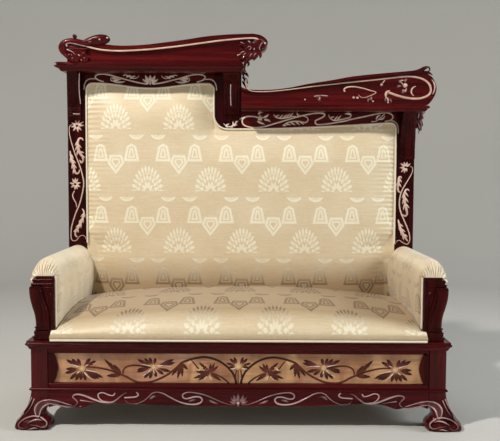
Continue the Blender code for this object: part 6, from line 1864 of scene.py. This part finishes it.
web = {"strap": 0.050, "columns": 10, "rows": 5, "thick": 0.0012, "lift": 0.0009, "light": (0.42, 0.29, 0.16),
       "dark": (0.22, 0.14, 0.07), "stripe": (0.30, 0.09, 0.05), "stripeAt": 0.017, "stripeHalf": 0.0016}


# A woven strap: a flat oval section carried along its length, whose height is a cosine of the way
# between crossings. Rows and columns swap its x and y.
def webStrap(start, end, centre, phase, pitch, turned):
    along = np.linspace(start, end, int((end - start) / 0.006))
    turn = circle(20)[None, :]
    aside = centre + web["strap"] / 2 * np.cos(turn) + 0 * along[:, None]
    low, high = (corner.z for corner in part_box("seat_webbing"))
    wave = web["lift"] * np.cos(math.pi * (along[:, None] - start - web["strap"] / 2) / pitch + phase)
    z = (low + high) / 2 + wave + web["thick"] / 2 * np.sign(np.sin(turn)) * np.abs(np.sin(turn)) ** 0.5
    run = along[:, None] + 0 * turn
    cloth = joined(aside - centre, run, 0.0)
    pair = (run, aside) if turned else (aside, run)
    return shell(np.stack([*pair, z], -1), cloth=cloth)


def juteCloth():
    made, tree, shader = newMaterial("jute_webbing")
    place = attribute(tree, "cloth")
    weave = noise(tree, stretched(tree, place, (500, 900, 1)), 1.0, 2.0, 0.6, 0.0)
    aside = maths(tree, "ABSOLUTE", flatParts(tree, place)[0])
    off = maths(tree, "ABSOLUTE", minus(tree, aside, web["stripeAt"]))
    stripe = maths(tree, "LESS_THAN", off, web["stripeHalf"])
    colour = blendColour(tree, spread(tree, weave, 0.35, 0.65), web["dark"], web["light"])
    colour = blendColour(tree, times(tree, stripe, 0.8), colour, web["stripe"])
    tree.links.new(colour, shader.inputs["Base Color"])
    shader.inputs["Roughness"].default_value = 0.95
    relief(tree, shader, weave, 0.5, 0.0008)
    return made


def webbing():
    low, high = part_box("seat_webbing")
    pitchX = (high.x - low.x - web["strap"]) / (web["columns"] - 1)
    pitchY = (high.y - low.y - web["strap"]) / (web["rows"] - 1)
    clear = baseHalf - postSide - 0.002
    behindLeg = baseFront + postSide + 0.020
    shells = []
    for j in range(web["rows"]):
        half = clear if j == 0 else high.x
        centre = low.y + web["strap"] / 2 + pitchY * j
        start = -half
        phase = math.pi * (j + (start - low.x) / pitchX)
        shells.append(webStrap(start, half, centre, phase, pitchX, True))
    for i in range(web["columns"]):
        centre = low.x + web["strap"] / 2 + pitchX * i
        start = behindLeg if i in (0, web["columns"] - 1) else low.y
        phase = math.pi * (i + 1 + (start - low.y) / pitchY)
        shells.append(webStrap(start, high.y, centre, phase, pitchY, False))
    return shells


makePiece("woven_webbing", webbing(), juteCloth(), ["seat_webbing"])
print("webbing is woven")
